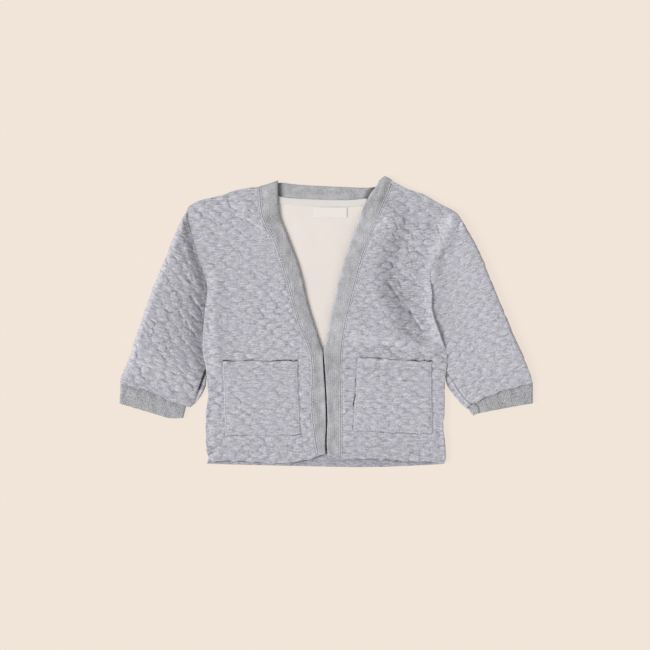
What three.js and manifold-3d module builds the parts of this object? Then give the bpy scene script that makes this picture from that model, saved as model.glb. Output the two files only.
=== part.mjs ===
// A baby's quilted cardigan, laid out flat on its back with the fronts closed edge to edge.
//
// Units are millimetres. The cardigan lies on the plane z = 0, seen from above with +Y towards the
// neck and +X to the right. Left and right are as seen from above. The back lies lowest, the two
// fronts and the bands lie on it, and each sleeve is a flattened tube beside the body.
//
// Every panel is drawn in its own cloth frame: "across" runs along the rows of quilting and "along"
// runs up the cloth. A panel's rows run between its left and its right line.
import * as THREE from "three";
import { mergeVertices } from "three/addons/utils/BufferGeometryUtils.js";
import Module from "manifold-3d";

const wasm = await Module();
wasm.setup();

// Cloths and the gaps between pieces
const SEAM_GAP = 0.5;
const LAYER_GAP = 0.4;
const FLAT_CLOTH = 2.4; // quilted cloth, its bubbles pressed flat against the table
const VALLEY_CLOTH = 2; // quilted cloth in the valleys between bubbles
const BUBBLE_LOFT = 1.5; // a bubble's height over the valleys
const PRESSED_LOFT = 0.5; // what is left of a bubble under or beside a pocket's edge
const RIB_CLOTH = 2.2; // rib knit, folded double
const TAPE_CLOTH = 0.5;
const UPPER_LAYER = FLAT_CLOTH + LAYER_GAP;

// The quilting: rows of bubbles, each row set half a bubble along from the last
const BUBBLE_WIDTH = 18;
const ROW_PITCH = 6.7;
const ROW_WAVE = 2; // how far the valleys swing round the bubbles
const NARROWS = 0.3; // the share of the loft that is left where two bubbles of a row meet

// Edges of cloth are rounded, and folds are rounder
const EDGE_CLOTH = 1.3;
const EDGE_ROUND = 3;
const BAND_ROUND = 2;
const FOLD_ROUND = 3.2;
const FOLD_LIFT = 1.6; // a fold's underside curls up this far

// The sleeves and cuffs
const SLEEVE_PUFF = 2.4; // the air inside a sleeve, halfway across
const SLEEVE_RIM = 3.2; // a sleeve's height at its folds
const SLEEVE_WALL = 2.8; // the cloth round the folds, seen from above
const SHOULDER_CLOSE = 8; // a sleeve's two walls are one cloth this far from its tip
const SEAM_FLANGE = 6.5; // the right sleeve's lower layer shows this far past its upper one
const CUFF_WALL = 1.9;
const CUFF_RIM = 2.6;
const LEFT_TURN = -21.6; // degrees that each sleeve's rows are turned from the body's
const RIGHT_TURN = 18.7;

// Small pieces
const POCKET_CLOTH = 1.6;
const POCKET_REST = 1.1; // a pocket's underside lies this far over the front's valleys
const POCKET_LIP = 0.9; // a pocket's mouth stands off the front
const LIP_DEPTH = 16;
const DEEP_INSIDE = 14; // from here inwards, the cloth under a pocket needs few points
const LABEL = { left: -14.5, right: 24.5, top: 137, bottom: 124.6 };
const TAPE_DEPTH = 8;
const HEM_REACH = 40; // a hem's curve fades out this far up the cloth

const points = (...rows) => rows.map(([x, y]) => new THREE.Vector2(x, y));

// Outlines of the laid-out garment, as x and y. Sides run from the hem to the shoulder's tip.
const LEFT_SIDE = points(
  [-143.4, -169.5], [-141.2, -160], [-144.6, -143], [-144.6, -116], [-142.4, -94], [-144, -60],
  [-148.4, -36], [-147.4, -4], [-144.8, 22], [-142.8, 40], [-146.6, 56], [-153.2, 75],
  [-159.6, 99], [-165.2, 119], [-168, 132],
);
const RIGHT_SIDE = points(
  [140, -169.8], [143.4, -157], [140.2, -128], [142, -96], [142.2, -70], [145.2, -42],
  [136.4, -16], [127.4, 12], [126.6, 34], [123.4, 58], [126.4, 72], [137, 84.6],
  [146.4, 96], [156.6, 113], [162, 121.8],
);
const LEFT_SHOULDER = points(
  [-168, 132], [-163.8, 138.6], [-149.4, 145.8], [-125.4, 151], [-109.8, 157], [-79.8, 162],
);
const RIGHT_SHOULDER = points(
  [162, 121.8], [154.2, 131.4], [133.8, 142.2], [116, 152.6], [98, 158.6], [79.8, 168],
);

// The front bands run from the hem to the neck point. Each has a seam and a free edge.
const LEFT_SEAM = points(
  [-9, -161], [-12.8, -142], [-17.2, -104], [-17.8, -44], [-34.2, 2], [-49, 56],
  [-61.8, 95.4], [-73.8, 119.4], [-78.4, 138], [-79.8, 162],
);
const LEFT_EDGE = points(
  [-1.4, -157], [-0.2, -120], [-1.4, -76], [-4.4, -37], [-21.6, 20], [-32.4, 65.4],
  [-46.2, 102.6], [-55, 126], [-58.2, 149.4], [-57.6, 169],
);
const RIGHT_SEAM = points(
  [17.4, -166], [17.4, -106], [16.8, -44], [23.4, 2], [40.8, 71.4], [53.4, 107.4], [71.4, 148],
  [79.8, 168], [82.4, 174],
);
const RIGHT_EDGE = points(
  [0.6, -158], [2.4, -112], [1.2, -76], [-2.6, -32], [7.8, 20], [22.2, 77.4], [37.8, 120.6],
  [48.6, 145.8], [63, 168.6], [69, 174],
);
const LEFT_BAND_ENDS = {
  bottom: points([-9.6, -162], [-1, -157.4]),
  top: points([-80, 162], [-66, 166], [-57, 169.4]),
};
const RIGHT_BAND_ENDS = {
  bottom: points([0, -157.6], [7, -162], [17.4, -165.6]),
  top: points([62, 174.6], [70, 174.4], [75.6, 171.4], [81, 167.6]),
};

// Hems and the neck, from left to right
const LEFT_HEM = points([-143.4, -169.5], [-115, -168], [-70, -170], [-36, -169], [-9, -162]);
const RIGHT_HEM = points([17.4, -165.6], [50, -165.4], [90, -167.4], [140, -169.8]);
const BACK_HEM = points(
  [-143.4, -170], [-100, -170.6], [-20, -172.4], [30, -174.6], [90, -173], [140, -170.4],
);
const BACK_NECK = points(
  [-79.8, 161], [-70, 156.4], [-57, 150.2], [-30, 147.6], [20, 146], [55, 148.2], [70, 157.6], [79.8, 167],
);
const NECKBAND_TOP = points([-70, 161.8], [-57, 166.4], [-30, 163.8], [20, 161.4], [55, 161], [72, 169]);

// The sleeves' folds run from the cuff upwards
const LEFT_SLEEVE_OUTER = points(
  [-246.8, -75.4], [-246, -66], [-233.4, -34], [-218.4, 12], [-203.4, 52], [-191.4, 81],
  [-179.4, 110], [-168, 132],
);
const LEFT_SLEEVE_UNDER = points([-169, -107.4], [-160.2, -101.6], [-152.6, -82], [-145.2, -54]);
const RIGHT_SLEEVE_OUTER = points(
  [247.4, -74], [238.8, -48.6], [220, -5], [202, 38], [184.2, 81], [173.4, 102.6], [162, 121.8],
);
const RIGHT_SLEEVE_UNDER = points([171, -101.6], [156.6, -86], [148.6, -72], [145.6, -52]);
const CUFF_SEAMS = { left: -160.9, right: -149.6 }; // how far along its sleeve each cuff begins
const LEFT_CUFF = {
  outer: points([-246.4, -99], [-246.4, -74]),
  inner: points([-175, -125], [-169.6, -106]),
  wrist: points([-246.4, -99], [-221.4, -106.2], [-197.4, -113.4], [-187, -116], [-171, -115.6]),
};
const RIGHT_CUFF = {
  outer: points([245.4, -96.6], [247, -73]),
  inner: points([178, -118], [171, -99]),
  wrist: points([175, -112.2], [182, -108.4], [208, -103.2], [229.8, -99], [245.4, -96.6]),
};

const POCKETS = {
  left: points([-121.8, -137.4], [-30.6, -136.2], [-34.2, -46.8], [-124.8, -48]),
  right: points([31.8, -131.4], [127.8, -135], [126.6, -47.4], [37.2, -43.2]),
};

// Soft ridges, each bent through three points
const BODY_FOLDS = [
  { x1: 100, y1: 104, x2: 114, y2: 56, x3: 119, y3: -10, high: 3, wide: 11 },
  { x1: 84, y1: 84, x2: 98, y2: 44, x3: 108, y3: 8, high: 1.2, wide: 8 },
  { x1: 36, y1: -20, x2: 78, y2: -24, x3: 126, y3: -34, high: 1.2, wide: 7 },
  { x1: 52, y1: 6, x2: 84, y2: -6, x3: 112, y3: -18, high: 0.9, wide: 7 },
  { x1: -135, y1: 52, x2: -137, y2: 0, x3: -134, y3: -58, high: 1.3, wide: 9 },
  { x1: -104, y1: 140, x2: -88, y2: 128, x3: -74, y3: 106, high: 0.8, wide: 8 },
];
const SLEEVE_FOLDS = [
  { x1: 176, y1: 64, x2: 196, y2: 6, x3: 218, y3: -52, high: 0.9, wide: 13 },
  { x1: -180, y1: 56, x2: -200, y2: 0, x3: -214, y3: -56, high: 0.9, wide: 13 },
  { x1: 168, y1: -66, x2: 196, y2: -60, x3: 228, y3: -50, high: 0.8, wide: 9 },
];

// The height of a table of ridges at a point
function ridges(table) {
  const curves = table.map((row) => ({
    ...row,
    line: new THREE.SplineCurve(points([row.x1, row.y1], [row.x2, row.y2], [row.x3, row.y3])).getPoints(8),
  }));
  const rise = (r, x, y) => r.high * Math.exp(-((distanceTo(r.line, x, y) / r.wide) ** 2));
  return (x, y) => curves.reduce((sum, r) => sum + rise(r, x, y), 0);
}

function distanceTo(line, x, y) {
  let nearest = Infinity;
  for (let i = 1; i < line.length; i++) {
    const [a, b] = [line[i - 1], line[i]];
    const [dx, dy] = [b.x - a.x, b.y - a.y];
    const t = THREE.MathUtils.clamp(((x - a.x) * dx + (y - a.y) * dy) / (dx * dx + dy * dy), 0, 1);
    nearest = Math.min(nearest, Math.hypot(x - a.x - t * dx, y - a.y - t * dy));
  }
  return nearest;
}

// How far a point lies inside a convex outline whose corners run anticlockwise
function insideBy(corners, x, y) {
  const distances = corners.map((a, i) => {
    const b = corners[(i + 1) % corners.length];
    return ((b.x - a.x) * (y - a.y) - (b.y - a.y) * (x - a.x)) / a.distanceTo(b);
  });
  return Math.min(...distances);
}

// A quarter of a circle: 0 at the edge of the cloth, 1 from the given distance inwards
function roundOff(distance, radius) {
  const t = THREE.MathUtils.clamp(1 - distance / radius, 0, 1);
  return Math.sqrt(1 - t * t);
}

// A curve through the points of one or more tables
const smooth = (...tables) => tables.flatMap((table) => new THREE.SplineCurve(table).getPoints(90));

const shifted = (line, dx, dy = 0) => line.map((p) => new THREE.Vector2(p.x + dx, p.y + dy));

// A function through pairs of numbers, with straight stretches between and past them
function through(pairs) {
  const sorted = pairs.slice().sort((a, b) => a[0] - b[0]);
  return (t) => {
    const found = sorted.findIndex((pair) => pair[0] > t);
    const i = found < 0 ? sorted.length - 1 : Math.max(found, 1);
    const [t0, s0] = sorted[i - 1];
    const [t1, s1] = sorted[i];
    return s0 + ((s1 - s0) * (t - t0)) / Math.max(t1 - t0, 1e-6);
  };
}

class ClothFrame {
  constructor(degrees = 0) {
    const angle = THREE.MathUtils.degToRad(degrees);
    this.cos = Math.cos(angle);
    this.sin = Math.sin(angle);
  }
  across(p) {
    return p.x * this.cos + p.y * this.sin;
  }
  along(p) {
    return -p.x * this.sin + p.y * this.cos;
  }
  place(u, v) {
    return [u * this.cos - v * this.sin, u * this.sin + v * this.cos];
  }
  side(line) {
    return through(line.map((p) => [this.along(p), this.across(p)]));
  }
  end(line) {
    return through(line.map((p) => [this.across(p), this.along(p)]));
  }
}

// A closed body, made of strips of triangles between rows of points
class Body {
  constructor() {
    this.points = [];
    this.faces = [];
  }
  add(x, y, z) {
    return this.points.push([x, y, z]) - 1;
  }
  gap(i, j) {
    const [a, b] = [this.points[i], this.points[j]];
    return Math.hypot(a[0] - b[0], a[1] - b[1], a[2] - b[2]);
  }
  // Two rows may have different numbers of points: each triangle takes the shorter way on
  strip(a, b, turned = false) {
    let [i, j] = [0, 0];
    while (i < a.length - 1 || j < b.length - 1) {
      const canA = i < a.length - 1;
      const canB = j < b.length - 1;
      const takeA = canA && (!canB || this.gap(a[i + 1], b[j]) <= this.gap(a[i], b[j + 1]));
      const face = takeA ? [a[i], a[i + 1], b[j]] : [a[i], b[j + 1], b[j]];
      this.faces.push(turned ? face.reverse() : face);
      if (takeA) i++;
      else j++;
    }
  }
  sheet(rows, turned) {
    for (let i = 1; i < rows.length; i++) this.strip(rows[i - 1], rows[i], turned);
  }
  // Closes an upper and a lower sheet round their four sides
  close(lower, upper) {
    const first = (rows) => rows[0];
    const last = (rows) => rows[rows.length - 1].slice().reverse();
    const right = (rows) => rows.map((row) => row[row.length - 1]);
    const left = (rows) => rows.map((row) => row[0]).reverse();
    for (const side of [first, right, last, left]) this.strip(side(lower), side(upper));
  }
  geometry() {
    return new THREE.BufferGeometry()
      .setAttribute("position", new THREE.Float32BufferAttribute(this.points.flat(), 3))
      .setIndex(this.faces.flat());
  }
}

// A point of the quilting: each bubble has a peak, and the valleys swing round the bubbles. Rows are
// counted twice a bubble's row, and columns twice a bubble's width.
function quiltPoint(row, column) {
  const onBubble = (column - Math.floor(row / 2)) % 2 === 0;
  if (row % 2 === 0) return { swing: 0, rise: onBubble ? BUBBLE_LOFT : BUBBLE_LOFT * NARROWS };
  return { swing: onBubble ? ROW_WAVE : -ROW_WAVE, rise: 0 };
}

const PANEL = {
  frame: new ClothFrame(),
  quilted: false,
  cloth: VALLEY_CLOTH,
  rim: EDGE_CLOTH, // the cloth's height at its edge
  round: EDGE_ROUND, // the width of the rounded edge
  underLift: 0, // how far the underside curls up at the sides
  openEnds: false, // rows at both ends aren't rounded off
  under: () => UPPER_LAYER, // the underside's height
  pressed: () => -Infinity, // how far a point lies inside a pocket's place
  flange: () => 0, // how far the lower layer shows past the upper one
  bottomLine: null,
  topLine: null,
  reach: HEM_REACH,
  columnStep: BUBBLE_WIDTH / 2,
  rowStep: ROW_PITCH,
  underColumnStep: BUBBLE_WIDTH / 2,
  underRowStep: 10,
};

class Panel {
  constructor(options) {
    Object.assign(this, PANEL, options);
    this.left = this.frame.side(this.leftLine);
    this.right = this.frame.side(this.rightLine);
    this.bottom = this.bottomLine ? this.frame.end(this.bottomLine) : () => this.from;
    this.top = this.topLine ? this.frame.end(this.topLine) : () => this.to;
  }
  // Rows near an end bend to its line
  place(u, v) {
    const low = THREE.MathUtils.clamp(1 - (v - this.from) / this.reach, 0, 1);
    const high = THREE.MathUtils.clamp(1 - (this.to - v) / this.reach, 0, 1);
    return this.frame.place(u, v + low * (this.bottom(u) - this.from) + high * (this.top(u) - this.to));
  }
  slope(side, v) {
    return Math.hypot(1, side(v + 0.5) - side(v - 0.5));
  }
  // The distance from the nearest rounded edge
  inset(u, v) {
    const fromLeft = (u - this.left(v)) / this.slope(this.left, v);
    const fromRight = (this.right(v) - u) / this.slope(this.right, v);
    const sides = Math.min(fromLeft, fromRight);
    return this.openEnds ? sides : Math.min(sides, v - this.from, this.to - v);
  }
  full(x, y, u, v) {
    return this.under(x, y, u, v) + this.cloth;
  }
  height(u, v, rise) {
    const [x, y] = this.place(u, v);
    const edge = this.under(x, y, u, v) + this.rim;
    const inset = Math.max(this.inset(u, v) - this.flange(u, v), 0);
    return edge + (this.full(x, y, u, v) + rise - edge) * roundOff(inset, this.round);
  }
  // A row's whole columns that stay clear of its edges
  columns(l, r, step, clear) {
    const first = Math.ceil((l + clear) / step);
    const count = Math.max(0, Math.floor((r - clear) / step) - first + 1);
    return Array.from({ length: count }, (_, k) => first + k);
  }
  cell(u, v, row, column) {
    if (!this.quilted || row === null) return { u, v, rise: 0 };
    const { swing, rise } = quiltPoint(row, column);
    const inside = this.pressed(...this.place(u, v));
    if (inside > DEEP_INSIDE && (column % 2 || row % 4)) return null;
    if (inside > 0) return { u, v, rise: PRESSED_LOFT / 2 };
    return { u, v: v + swing, rise: inside > -5 ? Math.min(rise, PRESSED_LOFT) : rise };
  }
  upperRow(body, v, row) {
    const [l, r] = [this.left(v), this.right(v)];
    const inLeft = l + this.round * 0.8 * this.slope(this.left, v);
    const inRight = r - this.round * 0.8 * this.slope(this.right, v);
    const line = [{ u: l, v, rise: 0 }];
    if (r - l > 2.4 * (r - l - (inRight - inLeft))) {
      line.push({ u: inLeft, v, rise: 0 });
      const clear = this.quilted ? 2.6 : 1.5;
      for (const column of this.columns(inLeft, inRight, this.columnStep, clear)) {
        const cell = this.cell(column * this.columnStep, v, row, column);
        if (cell) line.push(cell);
      }
      line.push({ u: inRight, v, rise: 0 });
    } else if (r - l > 6) line.push({ u: (l + r) / 2, v, rise: 0 });
    line.push({ u: r, v, rise: 0 });
    return line.map((p) => body.add(...this.place(p.u, p.v), this.height(p.u, p.v, p.rise)));
  }
  lowerRow(body, v) {
    const [l, r] = [this.left(v), this.right(v)];
    const curl = this.underLift && r - l > 3 * this.round ? this.round : 0;
    const inner = this.columns(l + curl, r - curl, this.underColumnStep, 4);
    const line = [l, ...inner.map((column) => column * this.underColumnStep), r];
    if (curl) line.splice(1, 0, l + curl);
    if (curl) line.splice(-1, 0, r - curl);
    return line.map((u) => {
      const [x, y] = this.place(u, v);
      const lift = this.underLift * (1 - roundOff(Math.min(u - l, r - u), this.round));
      return body.add(x, y, this.under(x, y, u, v) + lift);
    });
  }
  geometry() {
    const body = new Body();
    const step = this.quilted ? ROW_PITCH / 2 : this.rowStep;
    const clear = this.quilted ? 2.9 : 1.5;
    const whole = this.columns(this.from, this.to, step, clear);
    const upper = [
      this.upperRow(body, this.from, null),
      ...whole.map((row) => this.upperRow(body, row * step, row)),
      this.upperRow(body, this.to, null),
    ];
    const count = Math.ceil((this.to - this.from) / this.underRowStep);
    const lower = Array.from({ length: count + 1 }, (_, k) =>
      this.lowerRow(body, THREE.MathUtils.lerp(this.from, this.to, k / count)),
    );
    body.sheet(upper, false);
    body.sheet(lower, true);
    body.close(lower, upper);
    return body.geometry();
  }
}

function solid(geometry) {
  const merged = mergeVertices(geometry, 1e-4);
  return new wasm.Manifold(
    new wasm.Mesh({
      numProp: 3,
      vertProperties: merged.attributes.position.array,
      triVerts: new Uint32Array(merged.index.array),
    }),
  );
}

// One closed body less another
function hollowed(outer, inner) {
  const made = solid(outer).subtract(solid(inner)).getMesh();
  return new THREE.BufferGeometry()
    .setAttribute("position", new THREE.Float32BufferAttribute(made.vertProperties, 3))
    .setIndex([...made.triVerts]);
}

const bodyDrape = ridges(BODY_FOLDS);
const sleeveDrape = ridges(SLEEVE_FOLDS);
const overBack = (x, y) => UPPER_LAYER + bodyDrape(x, y);

// The back is cut in one with its hem, and its outline turns round the neck
function back() {
  const inwards = 0.1;
  const outline = [
    ...shifted(smooth(LEFT_SIDE, LEFT_SHOULDER), inwards),
    ...smooth(BACK_NECK),
    ...shifted(smooth(RIGHT_SIDE, RIGHT_SHOULDER), -inwards).reverse(),
    ...smooth(BACK_HEM).reverse(),
  ];
  const kept = outline.filter((_, i) => i % 4 === 0).reverse();
  return new THREE.ExtrudeGeometry(new THREE.Shape(kept), { depth: FLAT_CLOTH, bevelEnabled: false });
}

// A front lies between its band's seam and the garment's side. "seamSide" is -1 for the left front.
function front(seamSide, side, shoulder, seam, hem, pocketCorners) {
  const outer = shifted(smooth(side, shoulder), (-seamSide * SEAM_GAP) / 2);
  const inner = shifted(smooth(seam), seamSide * SEAM_GAP);
  const [leftLine, rightLine] = seamSide < 0 ? [outer, inner] : [inner, outer];
  const seamEnd = seamSide < 0 ? hem[hem.length - 1] : hem[0];
  return new Panel({
    quilted: true,
    leftLine,
    rightLine,
    from: seamEnd.y,
    to: shoulder[shoulder.length - 1].y - 1.6,
    bottomLine: smooth(hem),
    under: overBack,
    pressed: (x, y) => insideBy(pocketCorners, x, y),
  }).geometry();
}

// A band's ends slant up from its seam. "seamAt" counts the end points from the left.
function band(leftLine, rightLine, ends, seamAt) {
  return new Panel({
    leftLine: smooth(leftLine),
    rightLine: smooth(rightLine),
    from: ends.bottom.at(seamAt).y,
    to: ends.top.at(seamAt).y,
    bottomLine: ends.bottom,
    topLine: ends.top,
    reach: 12,
    under: overBack,
    cloth: RIB_CLOTH,
    round: BAND_ROUND,
  }).geometry();
}

function pocket([bottomLeft, bottomRight, topRight, topLeft]) {
  const from = (bottomLeft.y + bottomRight.y) / 2;
  const to = (topLeft.y + topRight.y) / 2;
  const lip = (y) => POCKET_LIP * THREE.MathUtils.smoothstep(y, to - LIP_DEPTH, to);
  return new Panel({
    quilted: true,
    leftLine: [bottomLeft, topLeft],
    rightLine: [bottomRight, topRight],
    from,
    to,
    bottomLine: [bottomLeft, bottomRight],
    topLine: [topLeft, topRight],
    under: (x, y) => overBack(x, y) + VALLEY_CLOTH + POCKET_REST + lip(y),
    cloth: POCKET_CLOTH,
    round: BAND_ROUND,
  }).geometry();
}

// A sleeve is what is left between an outer body and the air inside it. "bodySide" is 1 where the
// garment's body lies to the right of the sleeve.
function sleeve(bodySide, turn, cuffSeam, outerFold, underFold, side) {
  const frame = new ClothFrame(turn);
  const upperSide = smooth(side).filter((p) => p.y > underFold[underFold.length - 1].y);
  const inwardLine = shifted([...smooth(underFold), ...upperSide], -bodySide * SEAM_GAP);
  const outwardLine = smooth(outerFold);
  const [leftLine, rightLine] = bodySide > 0 ? [outwardLine, inwardLine] : [inwardLine, outwardLine];
  const [left, right] = [frame.side(leftLine), frame.side(rightLine)];
  const from = cuffSeam + SEAM_GAP / 2;
  const to = frame.along(side[side.length - 1]) - 2.4;
  const underarm = frame.along(underFold[underFold.length - 1]) + 8;
  const puff = (u, v) => {
    const w = THREE.MathUtils.clamp((u - left(v)) / (right(v) - left(v)), 0, 1);
    return SLEEVE_PUFF * 4 * w * (1 - w);
  };
  // Only the right sleeve's under fold shows its lower layer
  const flange = (u, v) => {
    const nearBody = (u - left(v)) / (right(v) - left(v)) < 0.4;
    const fades = THREE.MathUtils.smoothstep(underarm - v, 0, 14);
    return bodySide < 0 && nearBody ? SEAM_FLANGE * fades : 0;
  };
  const shared = { frame, openEnds: true, underColumnStep: 2 * BUBBLE_WIDTH, underRowStep: ROW_PITCH };
  const air = (x, y, u, v) => LAYER_GAP + puff(u, v) + sleeveDrape(x, y);
  const outer = new Panel({
    ...shared,
    leftLine,
    rightLine,
    from,
    to,
    quilted: true,
    rim: SLEEVE_RIM,
    round: FOLD_ROUND,
    underLift: FOLD_LIFT,
    under: () => 0,
    flange,
  });
  outer.full = (x, y, u, v) => FLAT_CLOTH + air(x, y, u, v) + VALLEY_CLOTH;
  // The air stops short of the folds and runs out through the armhole and the wrist
  const airLine = (sideOf, sign, atBody) => {
    const count = Math.ceil((to - from + 12) / 3);
    const rows = Array.from({ length: count + 1 }, (_, k) => from - 6 + 3 * k);
    return rows.map((v) => {
      const inset = SLEEVE_WALL + (atBody ? flange(sideOf(v), v) : 0);
      const open = atBody && v > underarm + 30;
      return new THREE.Vector2(...frame.place(sideOf(v) + sign * (open ? -5 : inset), v));
    });
  };
  const inner = new Panel({
    ...shared,
    leftLine: airLine(left, 1, bodySide < 0),
    rightLine: airLine(right, -1, bodySide > 0),
    from: from - 5,
    to: to - SHOULDER_CLOSE,
    under: () => FLAT_CLOTH,
    cloth: 0,
    rim: LAYER_GAP * 0.75,
    round: 6,
    rowStep: 10,
  });
  inner.full = (x, y, u, v) => FLAT_CLOTH + air(x, y, u, v);
  return hollowed(outer.geometry(), inner.geometry());
}

// A cuff is a flattened tube of rib knit, open at the wrist and at its seam
function cuff(turn, seam, leftFold, rightFold, wrist) {
  const frame = new ClothFrame(turn);
  const from = Math.min(frame.along(wrist[0]), frame.along(wrist[wrist.length - 1]));
  const to = seam - SEAM_GAP / 2;
  const shared = { frame, openEnds: true, bottomLine: smooth(wrist), reach: to - from, rowStep: 5 };
  const outer = new Panel({
    ...shared,
    leftLine: leftFold,
    rightLine: rightFold,
    from,
    to,
    under: () => 0,
    underLift: FOLD_LIFT * 0.75,
    cloth: 2 * CUFF_WALL + LAYER_GAP,
    rim: CUFF_RIM,
    round: BAND_ROUND,
  });
  const inwards = (line, by) =>
    line.map((p) => new THREE.Vector2(...frame.place(frame.across(p) + by, frame.along(p))));
  const inner = new Panel({
    ...shared,
    leftLine: inwards(leftFold, CUFF_WALL),
    rightLine: inwards(rightFold, -CUFF_WALL),
    from: from - 3,
    to: to + 3,
    bottomLine: shifted(smooth(wrist), 0, -3),
    under: () => CUFF_WALL,
    cloth: LAYER_GAP,
    rim: LAYER_GAP,
  });
  return hollowed(outer.geometry(), inner.geometry());
}

// The band behind the neck, whose rows run down it
function neckband() {
  const seam = shifted(smooth(BACK_NECK), 0, SEAM_GAP);
  return new Panel({
    frame: new ClothFrame(-90),
    leftLine: smooth(NECKBAND_TOP),
    rightLine: seam,
    from: NECKBAND_TOP[0].x,
    to: NECKBAND_TOP[NECKBAND_TOP.length - 1].x,
    under: () => 0,
    cloth: RIB_CLOTH,
    round: BAND_ROUND,
    rowStep: 8,
    columnStep: 6,
  }).geometry();
}

// A thin flat piece that lies on the inside of the back
function flatPiece(outline) {
  const shape = { depth: TAPE_CLOTH, bevelEnabled: false };
  return new THREE.ExtrudeGeometry(new THREE.Shape(outline), shape).translate(0, 0, UPPER_LAYER);
}

// The tape over the neck seam. Its right end follows the edge of the band that lies over it.
function neckTape() {
  const upper = shifted(BACK_NECK.slice(2, 6), 0, -0.6);
  upper[3].set(46.6, upper[3].y);
  const lower = shifted(upper, 0, -TAPE_DEPTH).reverse();
  lower[0].x -= 3.4;
  return flatPiece([...lower, ...upper].reverse());
}

function neckLabel() {
  const { left, right, top, bottom } = LABEL;
  return flatPiece(points([left, bottom], [right, bottom], [right, top], [left, top]));
}

const GREY_MARL = 0xb3b2b9;
const RIB_GREY = 0xaaa9ae;
const CREAM = 0xe8dfd9;

const cardigan = new THREE.Group();

function add(name, geometry, color, roughness = 0.95) {
  const material = new THREE.MeshStandardMaterial({ color, roughness, metalness: 0, flatShading: true });
  const mesh = new THREE.Mesh(geometry, material);
  mesh.name = name;
  cardigan.add(mesh);
}

add("back", back(), CREAM);
add("front_left", front(-1, LEFT_SIDE, LEFT_SHOULDER, LEFT_SEAM, LEFT_HEM, POCKETS.left), GREY_MARL);
add("front_right", front(1, RIGHT_SIDE, RIGHT_SHOULDER, RIGHT_SEAM, RIGHT_HEM, POCKETS.right), GREY_MARL);
add(
  "sleeve_left",
  sleeve(1, LEFT_TURN, CUFF_SEAMS.left, LEFT_SLEEVE_OUTER, LEFT_SLEEVE_UNDER, LEFT_SIDE),
  GREY_MARL,
);
add(
  "sleeve_right",
  sleeve(-1, RIGHT_TURN, CUFF_SEAMS.right, RIGHT_SLEEVE_OUTER, RIGHT_SLEEVE_UNDER, RIGHT_SIDE),
  GREY_MARL,
);
add("cuff_left", cuff(LEFT_TURN, CUFF_SEAMS.left, LEFT_CUFF.outer, LEFT_CUFF.inner, LEFT_CUFF.wrist), RIB_GREY);
add(
  "cuff_right",
  cuff(RIGHT_TURN, CUFF_SEAMS.right, RIGHT_CUFF.inner, RIGHT_CUFF.outer, RIGHT_CUFF.wrist),
  RIB_GREY,
);
add("band_left", band(LEFT_SEAM, LEFT_EDGE, LEFT_BAND_ENDS, 0), RIB_GREY);
add("band_right", band(RIGHT_EDGE, RIGHT_SEAM, RIGHT_BAND_ENDS, -1), RIB_GREY);
add("neckband", neckband(), RIB_GREY);
add("pocket_left", pocket(POCKETS.left), GREY_MARL);
add("pocket_right", pocket(POCKETS.right), GREY_MARL);
add("neck_tape", neckTape(), CREAM);
add("neck_label", neckLabel(), CREAM);

// The origin lies under the middle of the garment
const box = new THREE.Box3().setFromObject(cardigan);
const middle = box.getCenter(new THREE.Vector3());
cardigan.position.set(-middle.x, -middle.y, -box.min.z);

export default cardigan;
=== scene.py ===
"""A baby's quilted cardigan, laid out flat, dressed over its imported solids.

Sizes in the tables are millimetres, seen from above with +Y towards the neck. Left and right are as
seen from above. Every panel is drawn in its own cloth frame: "across" runs along the rows of quilting
and "along" runs up the cloth.
"""

from __future__ import annotations

import logging
import math
from dataclasses import dataclass, field
from enum import Enum, IntEnum
from typing import Any, Callable, Sequence

import bpy
import numpy as np
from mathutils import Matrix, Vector


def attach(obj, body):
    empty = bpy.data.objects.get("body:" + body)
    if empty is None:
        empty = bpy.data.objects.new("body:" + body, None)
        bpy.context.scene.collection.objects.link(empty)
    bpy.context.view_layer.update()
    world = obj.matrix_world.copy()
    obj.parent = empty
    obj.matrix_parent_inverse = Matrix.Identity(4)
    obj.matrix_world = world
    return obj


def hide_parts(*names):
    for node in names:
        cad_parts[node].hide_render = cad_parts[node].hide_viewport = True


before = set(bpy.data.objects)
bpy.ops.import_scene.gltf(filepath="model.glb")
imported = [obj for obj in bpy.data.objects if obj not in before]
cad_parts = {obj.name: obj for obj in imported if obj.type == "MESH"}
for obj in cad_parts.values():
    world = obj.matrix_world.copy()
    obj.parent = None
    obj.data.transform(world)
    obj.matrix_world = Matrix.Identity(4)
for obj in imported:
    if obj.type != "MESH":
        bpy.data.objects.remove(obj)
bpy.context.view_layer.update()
log = logging.getLogger("cardigan")

MM = 0.001
Array = np.ndarray
Height = Callable[[Array, Array], Array]

# Cloths, as in the solids
FLAT_CLOTH = 2.4
VALLEY_CLOTH = 2.0
LAYER_GAP = 0.4
UPPER_LAYER = FLAT_CLOTH + LAYER_GAP
RIB_CLOTH = 2.2
BUBBLE_WIDTH = 18.0
ROW_PITCH = 6.7
TOUCH = 0.02  # two pieces that are sewn together lie this close
STAND_OFF = 6.3  # of the right front from the back
SLIT = -4.7  # the right front starts to the right of this
ARMHOLE_SEWN = 42.0  # below this the body's edge lies over the sleeve


def points(*rows: Sequence[float]) -> Array:
    """A table of points."""
    return np.array(rows, float)


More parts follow.
